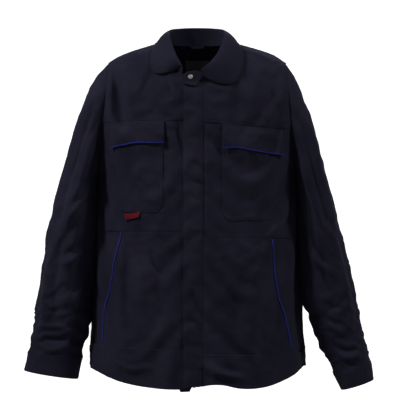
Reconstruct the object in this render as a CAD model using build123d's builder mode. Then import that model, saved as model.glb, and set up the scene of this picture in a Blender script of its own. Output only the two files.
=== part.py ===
"""Flame-retardant cloth work jacket: blue-piped chest flaps and slant pockets, concealed front zip.

Millimetres. +Z is up, the front faces -Y and the wearer's left is +X. The origin is at the middle
of the hanger loop, inside the back of the neck. Each cloth panel is a layer of one lofted body form,
cut to its outline, so every layer follows the same curve at its own depth.
"""

from build123d import *
from math import cos, pi, sin
import os

os.makedirs("parts", exist_ok=True)

# ---------------------------------------------------------------- driving dimensions
CLOTH = 1.5  # thickness of a finished cloth layer
LINING = 1.0  # thickness of pocket-bag and wind-flap cloth
CLEAR = 0.3  # gap kept between neighbouring layers
FAR = 600  # reach of a cutting prism beyond the jacket
ABOVE, BELOW = 100, -900  # heights clear of the whole jacket
HAIR = 0.2  # gap between cloth layers that are sewn together

HEM_Z = -755
FRONT_TOP = (-142, -82)  # (y, z) of the closure line at the throat
FRONT_LOW = (-205, -755)  # (y, z) of the closure line at the hem

# body form: height, half width, front, back. Front None: on the straight closure line
BODY_SECTIONS = [
    (6, 84, -78, 9),
    (-12, 146, -100, 24),
    (-35, 192, -118, 36),
    (-82, 234, None, 53),
    (-140, 247, None, 66),
    (-220, 240, None, 72),
    (-304, 222, None, 70),
    (-420, 216, None, 65),
    (-560, 222, None, 72),
    (-670, 232, None, 80),
    (-790, 244, None, 88),
]

ARMHOLE_TOP = (195, -50)  # (x, z) of the armhole plane at the shoulder
ARMHOLE_LOW = (220, -304)  # and under the arm
SLEEVE_GAP = 1.5  # sleeve root to armhole

NECK_Y, NECK_HALF_WIDTH, NECK_HALF_DEPTH = -66, 66, 76
STAND_TAPER = 4  # the collar stand is this much narrower at its fold, each side

RIGHT_EDGE = -12  # where the wearer's right front ends, under the placket
PLACKET_FREE_X = -29  # free edge of the placket
PLACKET_FOLD_X = 14  # the stitched line on which the placket folds back
PLACKET_STAND = 0.8  # placket clear of the fronts behind it
PLACKET_TOP = 9  # below the throat, along the closure line
PLACKET_LENGTH = 665

YOKE_Z = {-1: (-162, -168), 1: (-167, -182)}  # yoke seam at the closure and at the armhole
WAIST_Z = {-1: (-407, -407), 1: (-420, -423)}
BAND_Z = {-1: (-664, -658), 1: (-672, -676)}
SEAM_REACH = 200  # the far end of a front seam is this far from the middle
BACK_YOKE_Z, BACK_WAIST_Z, BACK_BAND_Z = -150, -413, -666
FACING_NEAR = {-1: 12, 1: 4}  # inner strips of the two fronts, by side
FACING_FAR, FACING_TOP = 46, -70
WIND_FLAP_DEPTH = 7.2
WIND_FLAP = [(-42, -100), (16, -100), (16, -747), (-13, -762), (-42, -762)]

# chest pockets and flaps, by side: near and far are distances from the middle
POCKET_NEAR = {-1: 74, 1: 54}
POCKET_FAR = {-1: 176, 1: 176}
POCKET_TOP = {-1: -180, 1: -187}
POCKET_LOW = {-1: -365, 1: -383}
POCKET_CHAMFER = (13, 17)
POCKET_DEPTH = 6.0  # room between the chest and the pocket's front
POCKET_BRIM = 20  # the pocket's room runs this far above its mouth, so that it opens at the top
FLAP_NEAR = {-1: 71, 1: 55}
FLAP_FAR = {-1: 185, 1: 186}
FLAP_TOP = {-1: (-164.5, -168), 1: (-171.5, -184)}
FLAP_LOW = {-1: (-213, -218), 1: (-222, -239)}
FLAP_STAND = 9.0  # flap's inner face clear of the chest
PIPING = 3.2  # width of the blue piping
PIPING_PROUD = 2.2  # how far it stands out from the cloth that it edges
HOOK_TAPE_LOW, HOOK_TAPE_HIGH, HOOK_TAPE_INSET = 8, 24, 24  # on the flap, from its lower edge and ends
HOOK_TAPE = 0.8  # its thickness

# slant hand pockets, by side: top and low ends of the opening
SLANT_TOP = {-1: (167, -412), 1: (163, -428)}
SLANT_LOW = {-1: (209, -646), 1: (207, -660)}
SLANT_GAP = 6.0  # width of the open slit
BAG_REACH = 118  # from the opening towards the middle
BAG_NARROWING = 25  # the bag is this much narrower at its foot
BAG_LIP = 3  # the bag's back wall reaches this far past the opening's edge
BAG_ROOM = 8.0  # hand room inside the bag
BAG_STAND = 3.2  # bag's front wall behind the jacket's surface

ZIP_X = -6  # middle of the zip
ZIP_DEPTH = 3.7  # middle of the chain behind the jacket's surface
CHAIN_WIDTH, CHAIN_THICK, CHAIN_GAP = 1.6, 2.4, 1.2
TAPE, TAPE_BACK = 0.6, 0.5  # thickness, and how far behind the middle of the chain it lies
TAPE_WIDTH = 14
TAPE_END = 4  # the tapes run this far past the teeth at the top, and twice as far at the foot
ZIP_TOP, ZIP_LENGTH = 14, 642  # along the closure line
BOX_HALF_WIDTH, BOX_HALF_DEPTH, BOX_LENGTH = 2.2, 1.8, 8
SLIDER_LENGTH, SLIDER_HALF_WIDTH, SLIDER_PLATE = 9, 4, 0.9
PULL_HALF_WIDTH, PULL_THICK, PULL_LENGTH = 2.5, 0.9, 26

SNAP_AT = (-17, -70)  # (x, z) of the throat press stud
SNAP_RADIUS, SNAP_HEIGHT, SNAP_ROUND = 5.5, 1.2, 0.5

# sleeve ribs: (inner x, inner z, outer x, outer z, middle y, half depth); x outwards from the middle
ARMHOLE_RIB = (222, -306, 195.5 + SLEEVE_GAP, -44, -41, 60)
ELBOW_Z = -400
ELBOW_GAP = 0.8  # half of the gap between the upper sleeve and the forearm
UPPER_RIBS = {
    -1: [
        (224.5, -311, 229, -80, -41, 70),
        (226.5, -317, 256, -136, -41, 75),
        (228.5, -324, 279, -205, -42, 77),
        (230, -332, 300, -278, -43, 76),
        (231, -345, 318, -345, -44, 73),
    ],
    1: [
        (224.5, -311, 226, -88, -41, 70),
        (226.5, -317, 246, -143, -41, 75),
        (228.5, -324, 266, -208, -42, 77),
        (230, -332, 286, -278, -43, 76),
        (231, -345, 305, -345, -44, 73),
    ],
}
# elbow rib: inner x, outer x, middle y, half depth
ELBOW_RIB = {-1: (231.5, 328, -45, 66), 1: (231.5, 318, -45, 66)}
FORE_RIBS = {
    -1: [
        (234, -453, 337, -453, -47, 61),
        (238, -560, 353, -560, -54, 54),
        (243, -634, 365, -634, -62, 48),
    ],
    1: [
        (233, -453, 330, -453, -47, 61),
        (240, -560, 354, -559, -54, 54),
        (262, -640, 368, -632, -62, 48),
    ],
}
CUFF_TOP_RIB = {-1: (254, -684, 373, -676, -70, 43), 1: (301, -719, 383, -696, -70, 43)}
CUFF_LOW_RIB = {-1: (265, -735, 381, -717, -76, 38), 1: (321, -759, 389, -737, -76, 38)}
RIB_POINTS = 12  # points on the smooth curve of a rib
UNDER_SHARE = 0.24  # the under sleeve's share of each rib

SIDES = {-1: "right", 1: "left"}  # the wearer's right is -X


# ---------------------------------------------------------------- shared shapes
def front_y(z):
    """The closure line: straight from the throat to the hem."""
    slope = (FRONT_LOW[0] - FRONT_TOP[0]) / (FRONT_LOW[1] - FRONT_TOP[1])
    return FRONT_TOP[0] + (z - FRONT_TOP[1]) * slope


def body_form(offset):
    """The solid body form, grown outwards by offset, or inwards when it is negative."""
    with BuildPart() as form:
        for z, half_width, front, back in BODY_SECTIONS:
            front = front_y(z) if front is None else front
            with BuildSketch(Plane((0, (front + back) / 2, z + offset))):
                Ellipse(half_width + offset, (back - front) / 2 + offset)
        loft(ruled=True)
    return form.part


FORMS = {}


def layer(outer, inner):
    """The closed skin between two offsets of the body form."""
    for offset in (outer, inner):
        if offset not in FORMS:
            FORMS[offset] = body_form(offset)
    with BuildPart() as skin:
        add(FORMS[outer])
        add(FORMS[inner], mode=Mode.SUBTRACT)
    return skin.part


def prism(points, y_from, y_to):
    """An outline in X and Z, extruded from y_from to y_to."""
    with BuildPart() as block:
        with BuildSketch(Plane.XZ.offset(-y_from)):
            with BuildLine():
                Polyline(*points, close=True)
            make_face()
        extrude(amount=-(y_to - y_from))
    return block.part


def side_prism(points):
    """An outline in Y and Z, extruded across the jacket."""
    with BuildPart() as block:
        with BuildSketch(Plane.YZ):
            with BuildLine():
                Polyline(*points, close=True)
            make_face()
        extrude(amount=FAR, both=True)
    return block.part


def neck_tube(offset):
    """The slightly tapered column that the collar stand lies on."""
    with BuildPart() as column:
        with BuildSketch(Plane((0, NECK_Y, -140))):
            Ellipse(NECK_HALF_WIDTH + offset, NECK_HALF_DEPTH + offset)
        with BuildSketch(Plane((0, NECK_Y, 0))):
            Ellipse(NECK_HALF_WIDTH + offset, NECK_HALF_DEPTH + offset)
        with BuildSketch(Plane((0, NECK_Y, 60))):
            Ellipse(NECK_HALF_WIDTH + offset - STAND_TAPER, NECK_HALF_DEPTH + offset - STAND_TAPER)
        loft(ruled=True)
    return column.part


def finish(part, name):
    """Label a piece and write its STEP file."""
    part.label = name
    export_step(part, f"parts/{name}.step")


def cut_from(skin, block, name, away=()):
    """The part of a skin inside a block, less the solids in away."""
    with BuildPart() as piece:
        add(skin)
        add(block, mode=Mode.INTERSECT)
        for solid in away:
            add(solid, mode=Mode.SUBTRACT)
    finish(piece.part, name)
    return piece.part


def seam(heights, side, x):
    """Height of a front seam at distance x from the middle, on one side."""
    near, far = heights[side]
    return near + (far - near) * x / SEAM_REACH


def along_armhole(z):
    """The armhole plane's x at height z."""
    (top_x, top_z), (low_x, low_z) = ARMHOLE_TOP, ARMHOLE_LOW
    return top_x + (z - top_z) * (low_x - top_x) / (low_z - top_z)


def arm_space(side):
    """Everything outwards of a side's armhole plane."""
    top, low = 2 * ABOVE, BELOW / 2
    corners = [(along_armhole(top), top), (along_armhole(low), low), (FAR, low), (FAR, top)]
    return prism([(side * x, z) for x, z in corners], -FAR, FAR)


ARM_SPACE = [arm_space(side) for side in SIDES]
NECK_HOLE = neck_tube(CLEAR)

# ---------------------------------------------------------------- body panels
SHELL = layer(0, -CLOTH)
SIDE_Y = -40  # the side seams and the shoulder seams stand in this plane


def front_block(side, top, low, near_x):
    """Front region outwards of near_x, between two edges: each is a height or a seam's heights."""
    corners = [(near_x, top), (side * FAR, top), (side * FAR, low), (near_x, low)]
    points = [(x, seam(edge, side, abs(x)) if isinstance(edge, dict) else edge) for x, edge in corners]
    return prism(points, -FAR, SIDE_Y)


for side, name in SIDES.items():
    edge = RIGHT_EDGE if side < 0 else PLACKET_FOLD_X
    brims = ARM_SPACE + [NECK_HOLE]
    cut_from(SHELL, front_block(side, ABOVE, YOKE_Z, edge), f"front_yoke_{name}", brims)
    cut_from(SHELL, front_block(side, YOKE_Z, WAIST_Z, edge), f"chest_panel_{name}", ARM_SPACE)
    cut_from(SHELL, front_block(side, BAND_Z, HEM_Z, edge), f"hem_band_{name}")

for name, top, low in [
    ("back_yoke", ABOVE, BACK_YOKE_Z),
    ("back_panel", BACK_YOKE_Z, BACK_WAIST_Z),
    ("back_skirt", BACK_WAIST_Z, BACK_BAND_Z),
    ("hem_band_back", BACK_BAND_Z, HEM_Z),
]:
    block = prism([(-FAR, top), (FAR, top), (FAR, low), (-FAR, low)], SIDE_Y, FAR)
    away = ARM_SPACE + [NECK_HOLE] if name == "back_yoke" else ARM_SPACE
    cut_from(SHELL, block, name, away)


# ---------------------------------------------------------------- skirt fronts and slant hand pockets
def slant_line(side, z, shift=0):
    """Point on the slant opening at height z, moved outwards by shift."""
    (top_x, top_z), (low_x, low_z) = SLANT_TOP[side], SLANT_LOW[side]
    x = top_x + (z - top_z) * (low_x - top_x) / (low_z - top_z)
    return (side * (x + shift), z)


def slant_block(side, corners, middle=None):
    """A block on the front. Corners are (distance outwards of the opening, z); None: at x = middle."""
    points = [(middle, z) if shift is None else slant_line(side, z, shift) for shift, z in corners]
    return prism(points, -FAR, SIDE_Y)


BAG_INNER = layer(-BAG_STAND, -BAG_STAND - LINING)
BAG_OUTER = layer(-BAG_STAND - LINING - BAG_ROOM, -BAG_STAND - 2 * LINING - BAG_ROOM)
BAG_WALL = layer(-BAG_STAND - LINING, -BAG_STAND - LINING - BAG_ROOM)
PIPING_LAYER = layer(PIPING_PROUD, CLEAR)

for side, name in SIDES.items():
    edge = RIGHT_EDGE if side < 0 else PLACKET_FOLD_X
    skirt = front_block(side, WAIST_Z, BAND_Z, edge)
    middle = edge if side < 0 else 0
    inside = slant_block(side, [(None, 0), (0, 0), (0, BELOW), (None, BELOW)], middle)
    outside = slant_block(side, [(SLANT_GAP, 0), (FAR, 0), (FAR, BELOW), (SLANT_GAP, BELOW)])
    with BuildPart() as inner_skirt:
        add(SHELL)
        add(skirt, mode=Mode.INTERSECT)
        add(inside, mode=Mode.INTERSECT)
    finish(inner_skirt.part, f"skirt_front_{name}")
    with BuildPart() as outer_skirt:
        add(SHELL)
        add(skirt, mode=Mode.INTERSECT)
        add(outside, mode=Mode.INTERSECT)
    finish(outer_skirt.part, f"skirt_side_{name}")

    top, low = SLANT_TOP[side][1], SLANT_LOW[side][1]
    strip = slant_block(side, [(-PIPING, top), (0, top), (0, low), (-PIPING, low)])
    cut_from(PIPING_LAYER, strip, f"hand_pocket_piping_{name}")

    foot = BAG_NARROWING - BAG_REACH
    bag = slant_block(side, [(-BAG_REACH, top), (BAG_LIP, top), (BAG_LIP, low), (foot, low)])
    front_wall = slant_block(side, [(-BAG_REACH, top), (-1, top), (-1, low), (foot, low)])
    room_top, room_low = top - LINING, low + LINING
    room = slant_block(side, [(LINING - BAG_REACH, room_top), (BAG_REACH, room_top),
                              (BAG_REACH, room_low), (LINING + foot, room_low)])
    with BuildPart() as walls:
        add(BAG_WALL)
        add(bag, mode=Mode.INTERSECT)
        add(room, mode=Mode.SUBTRACT)
    with BuildPart() as back_wall:
        add(BAG_OUTER)
        add(bag, mode=Mode.INTERSECT)
    with BuildPart() as pouch:
        add(BAG_INNER)
        add(front_wall, mode=Mode.INTERSECT)
        add(walls.part)
        add(back_wall.part)
    finish(pouch.part, f"hand_pocket_bag_{name}")

# ---------------------------------------------------------------- chest pockets, flaps and their piping
POCKET_SKIN = layer(CLEAR + POCKET_DEPTH + CLOTH, CLEAR)
POCKET_ROOM = layer(CLEAR + POCKET_DEPTH, -CLOTH)
FLAP_LAYER = layer(FLAP_STAND + CLOTH, FLAP_STAND)
FLAP_PIPING_LAYER = layer(FLAP_STAND + PIPING_PROUD, FLAP_STAND - HAIR)
FLAP_TAPE_LAYER = layer(FLAP_STAND - CLEAR / 3, FLAP_STAND - CLEAR / 3 - HOOK_TAPE)


def pocket_outline(side, inset=0, top=None):
    """A patch pocket with its two lower corners cut off."""
    near, far, low = POCKET_NEAR[side] + inset, POCKET_FAR[side] - inset, POCKET_LOW[side] + inset
    top = POCKET_TOP[side] if top is None else top
    across, up = POCKET_CHAMFER
    corners = [(near, top), (far, top), (far, low + up), (far - across, low)]
    corners += [(near + across, low), (near, low + up)]
    return [(side * x, z) for x, z in corners]


def flap_low(side, x):
    """Height of a flap's lower edge at distance x from the middle."""
    (low_near, low_far), near, far = FLAP_LOW[side], FLAP_NEAR[side], FLAP_FAR[side]
    return low_near + (low_far - low_near) * (x - near) / (far - near)


def flap_outline(side):
    """A whole chest flap, from the yoke seam to its lower edge."""
    near, far = FLAP_NEAR[side], FLAP_FAR[side]
    top_near, top_far = FLAP_TOP[side]
    corners = [(near, top_near), (far, top_far), (far, flap_low(side, far)), (near, flap_low(side, near))]
    return [(side * x, z) for x, z in corners]


def flap_strip(side, above_from, above_to, inset=0):
    """A strip of a flap between two distances above its lower edge."""
    near, far = FLAP_NEAR[side] + inset, FLAP_FAR[side] - inset
    corners = [(near, above_from), (far, above_from), (far, above_to), (near, above_to)]
    return [(side * x, flap_low(side, x) + above) for x, above in corners]


for side, name in SIDES.items():
    with BuildPart() as pocket:
        add(POCKET_SKIN)
        add(prism(pocket_outline(side), -FAR, SIDE_Y), mode=Mode.INTERSECT)
        with BuildPart(mode=Mode.PRIVATE) as room:
            add(POCKET_ROOM)
            outline = pocket_outline(side, CLOTH, POCKET_TOP[side] + POCKET_BRIM)
            add(prism(outline, -FAR, SIDE_Y), mode=Mode.INTERSECT)
        add(room.part, mode=Mode.SUBTRACT)
    finish(pocket.part, f"chest_pocket_{name}")

    flap_cloth = prism(flap_outline(side), -FAR, SIDE_Y)
    piping = prism(flap_strip(side, -0.01, PIPING), -FAR, SIDE_Y)
    cut_from(FLAP_LAYER, flap_cloth, f"chest_flap_{name}", [piping])
    cut_from(FLAP_PIPING_LAYER, piping, f"flap_piping_{name}")
    tape = prism(flap_strip(side, HOOK_TAPE_LOW, HOOK_TAPE_HIGH, HOOK_TAPE_INSET), -FAR, SIDE_Y)
    cut_from(FLAP_TAPE_LAYER, tape, f"flap_hook_tape_{name}")

# ---------------------------------------------------------------- closure
FACING = layer(-CLOTH - HAIR, -2 * CLOTH - HAIR / 2)
for side, name in SIDES.items():
    near, far, low = side * FACING_NEAR[side], side * FACING_FAR, HEM_Z + 4
    strip = prism([(near, FACING_TOP), (far, FACING_TOP), (far, low), (near, low)], -FAR, SIDE_Y)
    cut_from(FACING, strip, f"front_facing_{name}", [NECK_HOLE])

WIND_FLAP_LAYER = layer(-WIND_FLAP_DEPTH, -WIND_FLAP_DEPTH - LINING)
cut_from(WIND_FLAP_LAYER, prism(WIND_FLAP, -FAR, SIDE_Y), "wind_flap", [NECK_HOLE])

closure_run = Vector(0, FRONT_LOW[0] - FRONT_TOP[0], FRONT_LOW[1] - FRONT_TOP[1])
closure = Plane((0, FRONT_TOP[0], FRONT_TOP[1]), x_dir=(1, 0, 0), z_dir=closure_run.normalized())


def closure_bar(x_from, x_to, depth_from, depth_to, start, length, name=None):
    """A straight bar along the closure. Depths count inwards from the jacket's surface."""
    with BuildPart() as bar:
        with BuildSketch(closure.offset(start)):
            with Locations(((x_from + x_to) / 2, -(depth_from + depth_to) / 2)):
                Rectangle(x_to - x_from, depth_to - depth_from)
        extrude(amount=length)
    if name:
        finish(bar.part, name)
    return bar.part


closure_bar(PLACKET_FREE_X, PLACKET_FOLD_X - CLEAR, -PLACKET_STAND - CLOTH, -PLACKET_STAND,
            PLACKET_TOP, PLACKET_LENGTH, "front_placket")
for side, name in SIDES.items():
    tooth = ZIP_X + side * CHAIN_GAP / 2
    tape_from = tooth + side * (CHAIN_WIDTH + 0.05)
    near, far = sorted((tooth, tooth + side * CHAIN_WIDTH))
    closure_bar(near, far, ZIP_DEPTH - CHAIN_THICK / 2, ZIP_DEPTH + CHAIN_THICK / 2,
                ZIP_TOP, ZIP_LENGTH, f"zip_chain_{name}")
    near, far = sorted((tape_from, tape_from + side * TAPE_WIDTH))
    tape_front = ZIP_DEPTH + TAPE_BACK
    closure_bar(near, far, tape_front, tape_front + TAPE, ZIP_TOP - TAPE_END, ZIP_LENGTH + 3 * TAPE_END,
                f"zip_tape_{name}")

box_start = ZIP_TOP + ZIP_LENGTH + CLEAR
closure_bar(ZIP_X - BOX_HALF_WIDTH, ZIP_X + BOX_HALF_WIDTH, ZIP_DEPTH - BOX_HALF_DEPTH,
            ZIP_DEPTH + BOX_HALF_DEPTH, box_start, BOX_LENGTH, "zip_bottom_box")

# slider: two plates joined by a thin web that runs between the two rows of teeth, and by a pull bridge
slider_start = ZIP_TOP + 4
plate_room = CHAIN_THICK / 2 + CLEAR
web_half = CHAIN_GAP / 2 - HAIR
with BuildPart() as slider:
    for depth in (ZIP_DEPTH - plate_room - SLIDER_PLATE, ZIP_DEPTH + plate_room):
        with BuildSketch(closure.offset(slider_start)):
            with Locations((ZIP_X, -depth - SLIDER_PLATE / 2)):
                Rectangle(2 * SLIDER_HALF_WIDTH, SLIDER_PLATE)
        extrude(amount=SLIDER_LENGTH)
    with BuildSketch(closure.offset(slider_start)):
        with Locations((ZIP_X, -ZIP_DEPTH)):
            Rectangle(2 * web_half, 2 * plate_room)
    extrude(amount=SLIDER_LENGTH / 2)
finish(slider.part, "zip_slider")
pull_depth = ZIP_DEPTH - plate_room - SLIDER_PLATE - CLEAR / 2
closure_bar(ZIP_X - PULL_HALF_WIDTH, ZIP_X + PULL_HALF_WIDTH, pull_depth - PULL_THICK, pull_depth,
            slider_start + SLIDER_LENGTH / 3, PULL_LENGTH, "zip_pull")

# ---------------------------------------------------------------- collar
# (y, z) outlines seen from the side, and (x, z) outlines seen from the front
STAND_LOW = [(60, -4), (-20, 0), (-100, -44), (-143, -90)]
STAND_FOLD = [(40, 46), (-40, 46), (-88, 18), (-120, -30), (-160, -52)]
STAND_ENDS = [(-30, 0), (-20, 0), (-20, -120), (-30, -120)]  # the gap between its ends, under the tab
TAB_OUTLINE = [(-33, -84), (-4, -90), (9, -71), (6, -58), (-20, -62), (-31, -68)]
DOUBLED = 0.5  # the collar is this much thicker than one layer of cloth
# leaf form: height, half width, middle y, half depth
LEAF_SECTIONS = [
    (50, 62, -70, 70),
    (20, 78, -72, 80),
    (-12, 97, -74, 88),
    (-50, 108, -78, 96),
    (-110, 122, -84, 106),
]
LEAF_EDGE = [(60, 2), (-20, -2), (-70, -30), (-110, -72), (-FAR, -90)]
LEAF_OPENING = [(-60, 60), (-58, 2), (-46, -20), (-31, -46), (-20, -90)]
LEAF_OPENING += [(6, -90), (14, -54), (46, -20), (58, 2), (60, 60)]
LEAF_RIGHT_LOW = -61  # the wearer's right leaf is shorter than the left one

with BuildPart() as stand:
    add(neck_tube(0))
    add(neck_tube(-CLOTH - DOUBLED), mode=Mode.SUBTRACT)
    add(side_prism(STAND_FOLD + [(-FAR, -60), (-FAR, FAR), (60, FAR)]), mode=Mode.SUBTRACT)
    add(side_prism(STAND_LOW + [(-FAR, -90), (-FAR, -FAR), (60, -FAR)]), mode=Mode.SUBTRACT)
    add(prism(STAND_ENDS, -FAR, NECK_Y), mode=Mode.SUBTRACT)
finish(stand.part, "collar_stand")

with BuildPart() as tab:
    add(neck_tube(CLEAR + CLOTH))
    add(neck_tube(CLEAR), mode=Mode.SUBTRACT)
    add(prism(TAB_OUTLINE, -FAR, NECK_Y), mode=Mode.INTERSECT)
    add(body_form(CLEAR), mode=Mode.SUBTRACT)
finish(tab.part, "collar_tab")


def leaf_cone(offset):
    """The flaring form that the turned-down collar leaf lies on."""
    with BuildPart() as cone:
        for z, half_width, middle, half_depth in LEAF_SECTIONS:
            with BuildSketch(Plane((0, middle, z + offset))):
                Ellipse(half_width + offset, half_depth + offset)
        loft(ruled=True)
    return cone.part


right_cut = [(-FAR, LEAF_RIGHT_LOW), (0, LEAF_RIGHT_LOW), (0, -FAR), (-FAR, -FAR)]
with BuildPart() as leaf:
    add(leaf_cone(CLOTH + DOUBLED))
    add(leaf_cone(0), mode=Mode.SUBTRACT)
    add(FORMS[0], mode=Mode.SUBTRACT)
    add(neck_tube(CLEAR + CLOTH + CLEAR), mode=Mode.SUBTRACT)
    add(side_prism(LEAF_EDGE + [(-FAR, -FAR), (60, -FAR)]), mode=Mode.SUBTRACT)
    add(prism(LEAF_OPENING, -FAR, NECK_Y), mode=Mode.SUBTRACT)
    add(prism(right_cut, -FAR, NECK_Y), mode=Mode.SUBTRACT)
finish(leaf.part, "collar_leaf")

snap_plane = Plane((SNAP_AT[0], NECK_Y - NECK_HALF_DEPTH, SNAP_AT[1]), x_dir=(1, 0, 0), z_dir=(0, -1, 0))
with BuildPart() as cap:
    with BuildSketch(snap_plane.offset(2 * CLEAR + CLOTH)):
        Circle(SNAP_RADIUS)
    extrude(amount=SNAP_HEIGHT)
    fillet(cap.edges().group_by(Axis.Y)[0], SNAP_ROUND)
finish(cap.part, "throat_snap_cap")

# ---------------------------------------------------------------- small sewn pieces inside and out
LOOP_LINE = [(-23, 2.1), (-19, 2.1), (-15, 0), (15, 0), (19, 2.1), (23, 2.1)]
LOOP_HALF_THICK, LOOP_WIDTH = 0.6, 6
LABEL = [(-26, -28), (26, -28), (26, -76), (-26, -76)]
LABEL_THICK = 0.7
POCKET_TAB = [(-158, -374), (-127, -361), (-123, -371), (-154, -384)]
POCKET_TAB_THICK = 0.9

with BuildPart() as loop:
    with BuildSketch(Plane.XY.offset(-LOOP_WIDTH / 2)):
        with BuildLine():
            back_of_loop = [(x, y + LOOP_HALF_THICK) for x, y in LOOP_LINE]
            front_of_loop = [(x, y - LOOP_HALF_THICK) for x, y in LOOP_LINE[::-1]]
            Polyline(*back_of_loop, *front_of_loop, close=True)
        make_face()
    extrude(amount=LOOP_WIDTH)
finish(loop.part, "hanger_loop")

LABEL_LAYER = layer(-CLOTH - HAIR, -CLOTH - HAIR - LABEL_THICK)
cut_from(LABEL_LAYER, prism(LABEL, SIDE_Y, FAR), "neck_label")

pocket_face = CLEAR + POCKET_DEPTH + CLOTH + CLEAR
TAB_LAYER = layer(pocket_face + POCKET_TAB_THICK, pocket_face)
cut_from(TAB_LAYER, prism(POCKET_TAB, -FAR, SIDE_Y), "pocket_tab")


# ---------------------------------------------------------------- sleeves
def rib_plane(rib):
    """The plane of a sleeve rib on the wearer's left, with its X from the inner to the outer point."""
    inner_x, inner_z, outer_x, outer_z, middle, _ = rib
    run = Vector(outer_x - inner_x, 0, outer_z - inner_z)
    origin = ((inner_x + outer_x) / 2, middle, (inner_z + outer_z) / 2)
    plane = Plane(origin, x_dir=run.normalized(), z_dir=run.cross(Vector(0, 1, 0)).normalized())
    return plane, run.length / 2


def sleeve_form(ribs, inset):
    """The solid length of sleeve through its ribs, smaller by inset."""
    sections = []
    for rib in ribs:
        plane, half = rib_plane(rib)
        half_depth = rib[5] - inset
        around = [2 * pi * k / RIB_POINTS for k in range(RIB_POINTS)]
        with BuildSketch(plane) as section:
            with BuildLine():
                Spline(*[((half - inset) * cos(a), half_depth * sin(a)) for a in around], periodic=True)
            make_face()
        sections.append(section.sketch)
    with BuildPart() as form:
        for pair in zip(sections, sections[1:]):
            loft(sections=pair, ruled=True)
    return form.part


def tube(side, ribs):
    """A hollow length of sleeve through its ribs."""
    with BuildPart() as hollow:
        add(sleeve_form(ribs, 0))
        add(sleeve_form(ribs, CLOTH), mode=Mode.SUBTRACT)
    if side > 0:
        return hollow.part
    with BuildPart() as mirrored:
        mirror(hollow.part, about=Plane.YZ)
    return mirrored.part


def under_edge(rib):
    """The x and z on a rib at which the under sleeve meets the top sleeve."""
    return rib[0] + (rib[2] - rib[0]) * UNDER_SHARE, rib[1] + (rib[3] - rib[1]) * UNDER_SHARE


def level_rib(entry, z):
    """The elbow rib at height z."""
    inner_x, outer_x, middle, half_depth = entry
    return (inner_x, z, outer_x, z, middle, half_depth)


for side, name in SIDES.items():
    lengths = {
        "upper": [ARMHOLE_RIB, *UPPER_RIBS[side], level_rib(ELBOW_RIB[side], ELBOW_Z + ELBOW_GAP)],
        "fore": [level_rib(ELBOW_RIB[side], ELBOW_Z - ELBOW_GAP), *FORE_RIBS[side], CUFF_TOP_RIB[side]],
    }
    for part_name, ribs in lengths.items():
        sleeve = tube(side, ribs)
        (start_x, start_z), (end_x, end_z) = under_edge(ribs[0]), under_edge(ribs[-1])
        run_x, run_z = (end_x - start_x) / (end_z - start_z), FAR
        line_top = (side * (start_x + run_x * run_z), start_z + run_z)
        line_low = (side * (end_x - run_x * run_z), end_z - run_z)
        under = prism([line_top, line_low, (0, line_low[1]), (0, line_top[1])], -FAR, FAR)
        for panel, mode in (("top", Mode.SUBTRACT), ("under", Mode.INTERSECT)):
            with BuildPart() as half:
                add(sleeve)
                add(under, mode=mode)
            finish(half.part, f"sleeve_{part_name}_{panel}_{name}")
    finish(tube(side, [CUFF_TOP_RIB[side], CUFF_LOW_RIB[side]]), f"cuff_{name}")
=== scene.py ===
import math

import bmesh
import bpy
import numpy as np
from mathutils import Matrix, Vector


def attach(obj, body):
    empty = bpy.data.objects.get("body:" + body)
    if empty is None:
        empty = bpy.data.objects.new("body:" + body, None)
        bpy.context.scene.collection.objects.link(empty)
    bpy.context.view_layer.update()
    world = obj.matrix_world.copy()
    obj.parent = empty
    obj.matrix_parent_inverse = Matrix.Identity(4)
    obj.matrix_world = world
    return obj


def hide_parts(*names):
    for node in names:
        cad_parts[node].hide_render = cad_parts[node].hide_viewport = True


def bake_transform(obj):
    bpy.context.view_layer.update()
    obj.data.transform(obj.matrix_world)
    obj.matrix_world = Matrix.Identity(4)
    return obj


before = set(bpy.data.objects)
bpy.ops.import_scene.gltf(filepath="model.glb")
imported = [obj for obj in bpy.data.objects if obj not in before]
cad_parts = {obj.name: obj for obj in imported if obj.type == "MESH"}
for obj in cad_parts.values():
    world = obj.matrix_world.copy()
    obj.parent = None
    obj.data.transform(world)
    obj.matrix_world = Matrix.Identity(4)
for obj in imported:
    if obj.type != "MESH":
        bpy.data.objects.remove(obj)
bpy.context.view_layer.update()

MM = 0.001
CLOTH, DOUBLE = 1.3, 2.0  # thickness of a cloth layer, and of a turned and doubled one
SIDES = {-1: "right", 1: "left"}
TAU = 2 * math.pi
QUARTER = math.pi / 2


# ---------------------------------------------------------------- curves
def curve(knots, values):
    """A smooth function through values at ascending knots."""
    knots, values = np.asarray(knots, float), np.asarray(values, float)
    slopes = np.gradient(values, knots, axis=0)

    def at(t):
        t = np.clip(np.asarray(t, float), knots[0], knots[-1])
        k = np.clip(np.searchsorted(knots, t, side="right") - 1, 0, len(knots) - 2)
        step = knots[k + 1] - knots[k]
        f = (t - knots[k]) / step
        if values.ndim > 1:
            f, step = f[..., None], step[..., None]
        h00, h10 = (1 + 2 * f) * (1 - f) ** 2, f * (1 - f) ** 2
        h01, h11 = f * f * (3 - 2 * f), f * f * (f - 1)
        return h00 * values[k] + h10 * step * slopes[k] + h01 * values[k + 1] + h11 * step * slopes[k + 1]

    return at


def smoothstep(t):
    t = np.clip(t, 0, 1)
    return t * t * (3 - 2 * t)


def unit(v):
    return v / np.maximum(np.linalg.norm(v, axis=-1, keepdims=True), 1e-9)


def run_along(points):
    """Distance along a line of points, at each of them."""
    return np.concatenate([[0], np.cumsum(np.linalg.norm(np.diff(points, axis=0), axis=1))])


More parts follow.
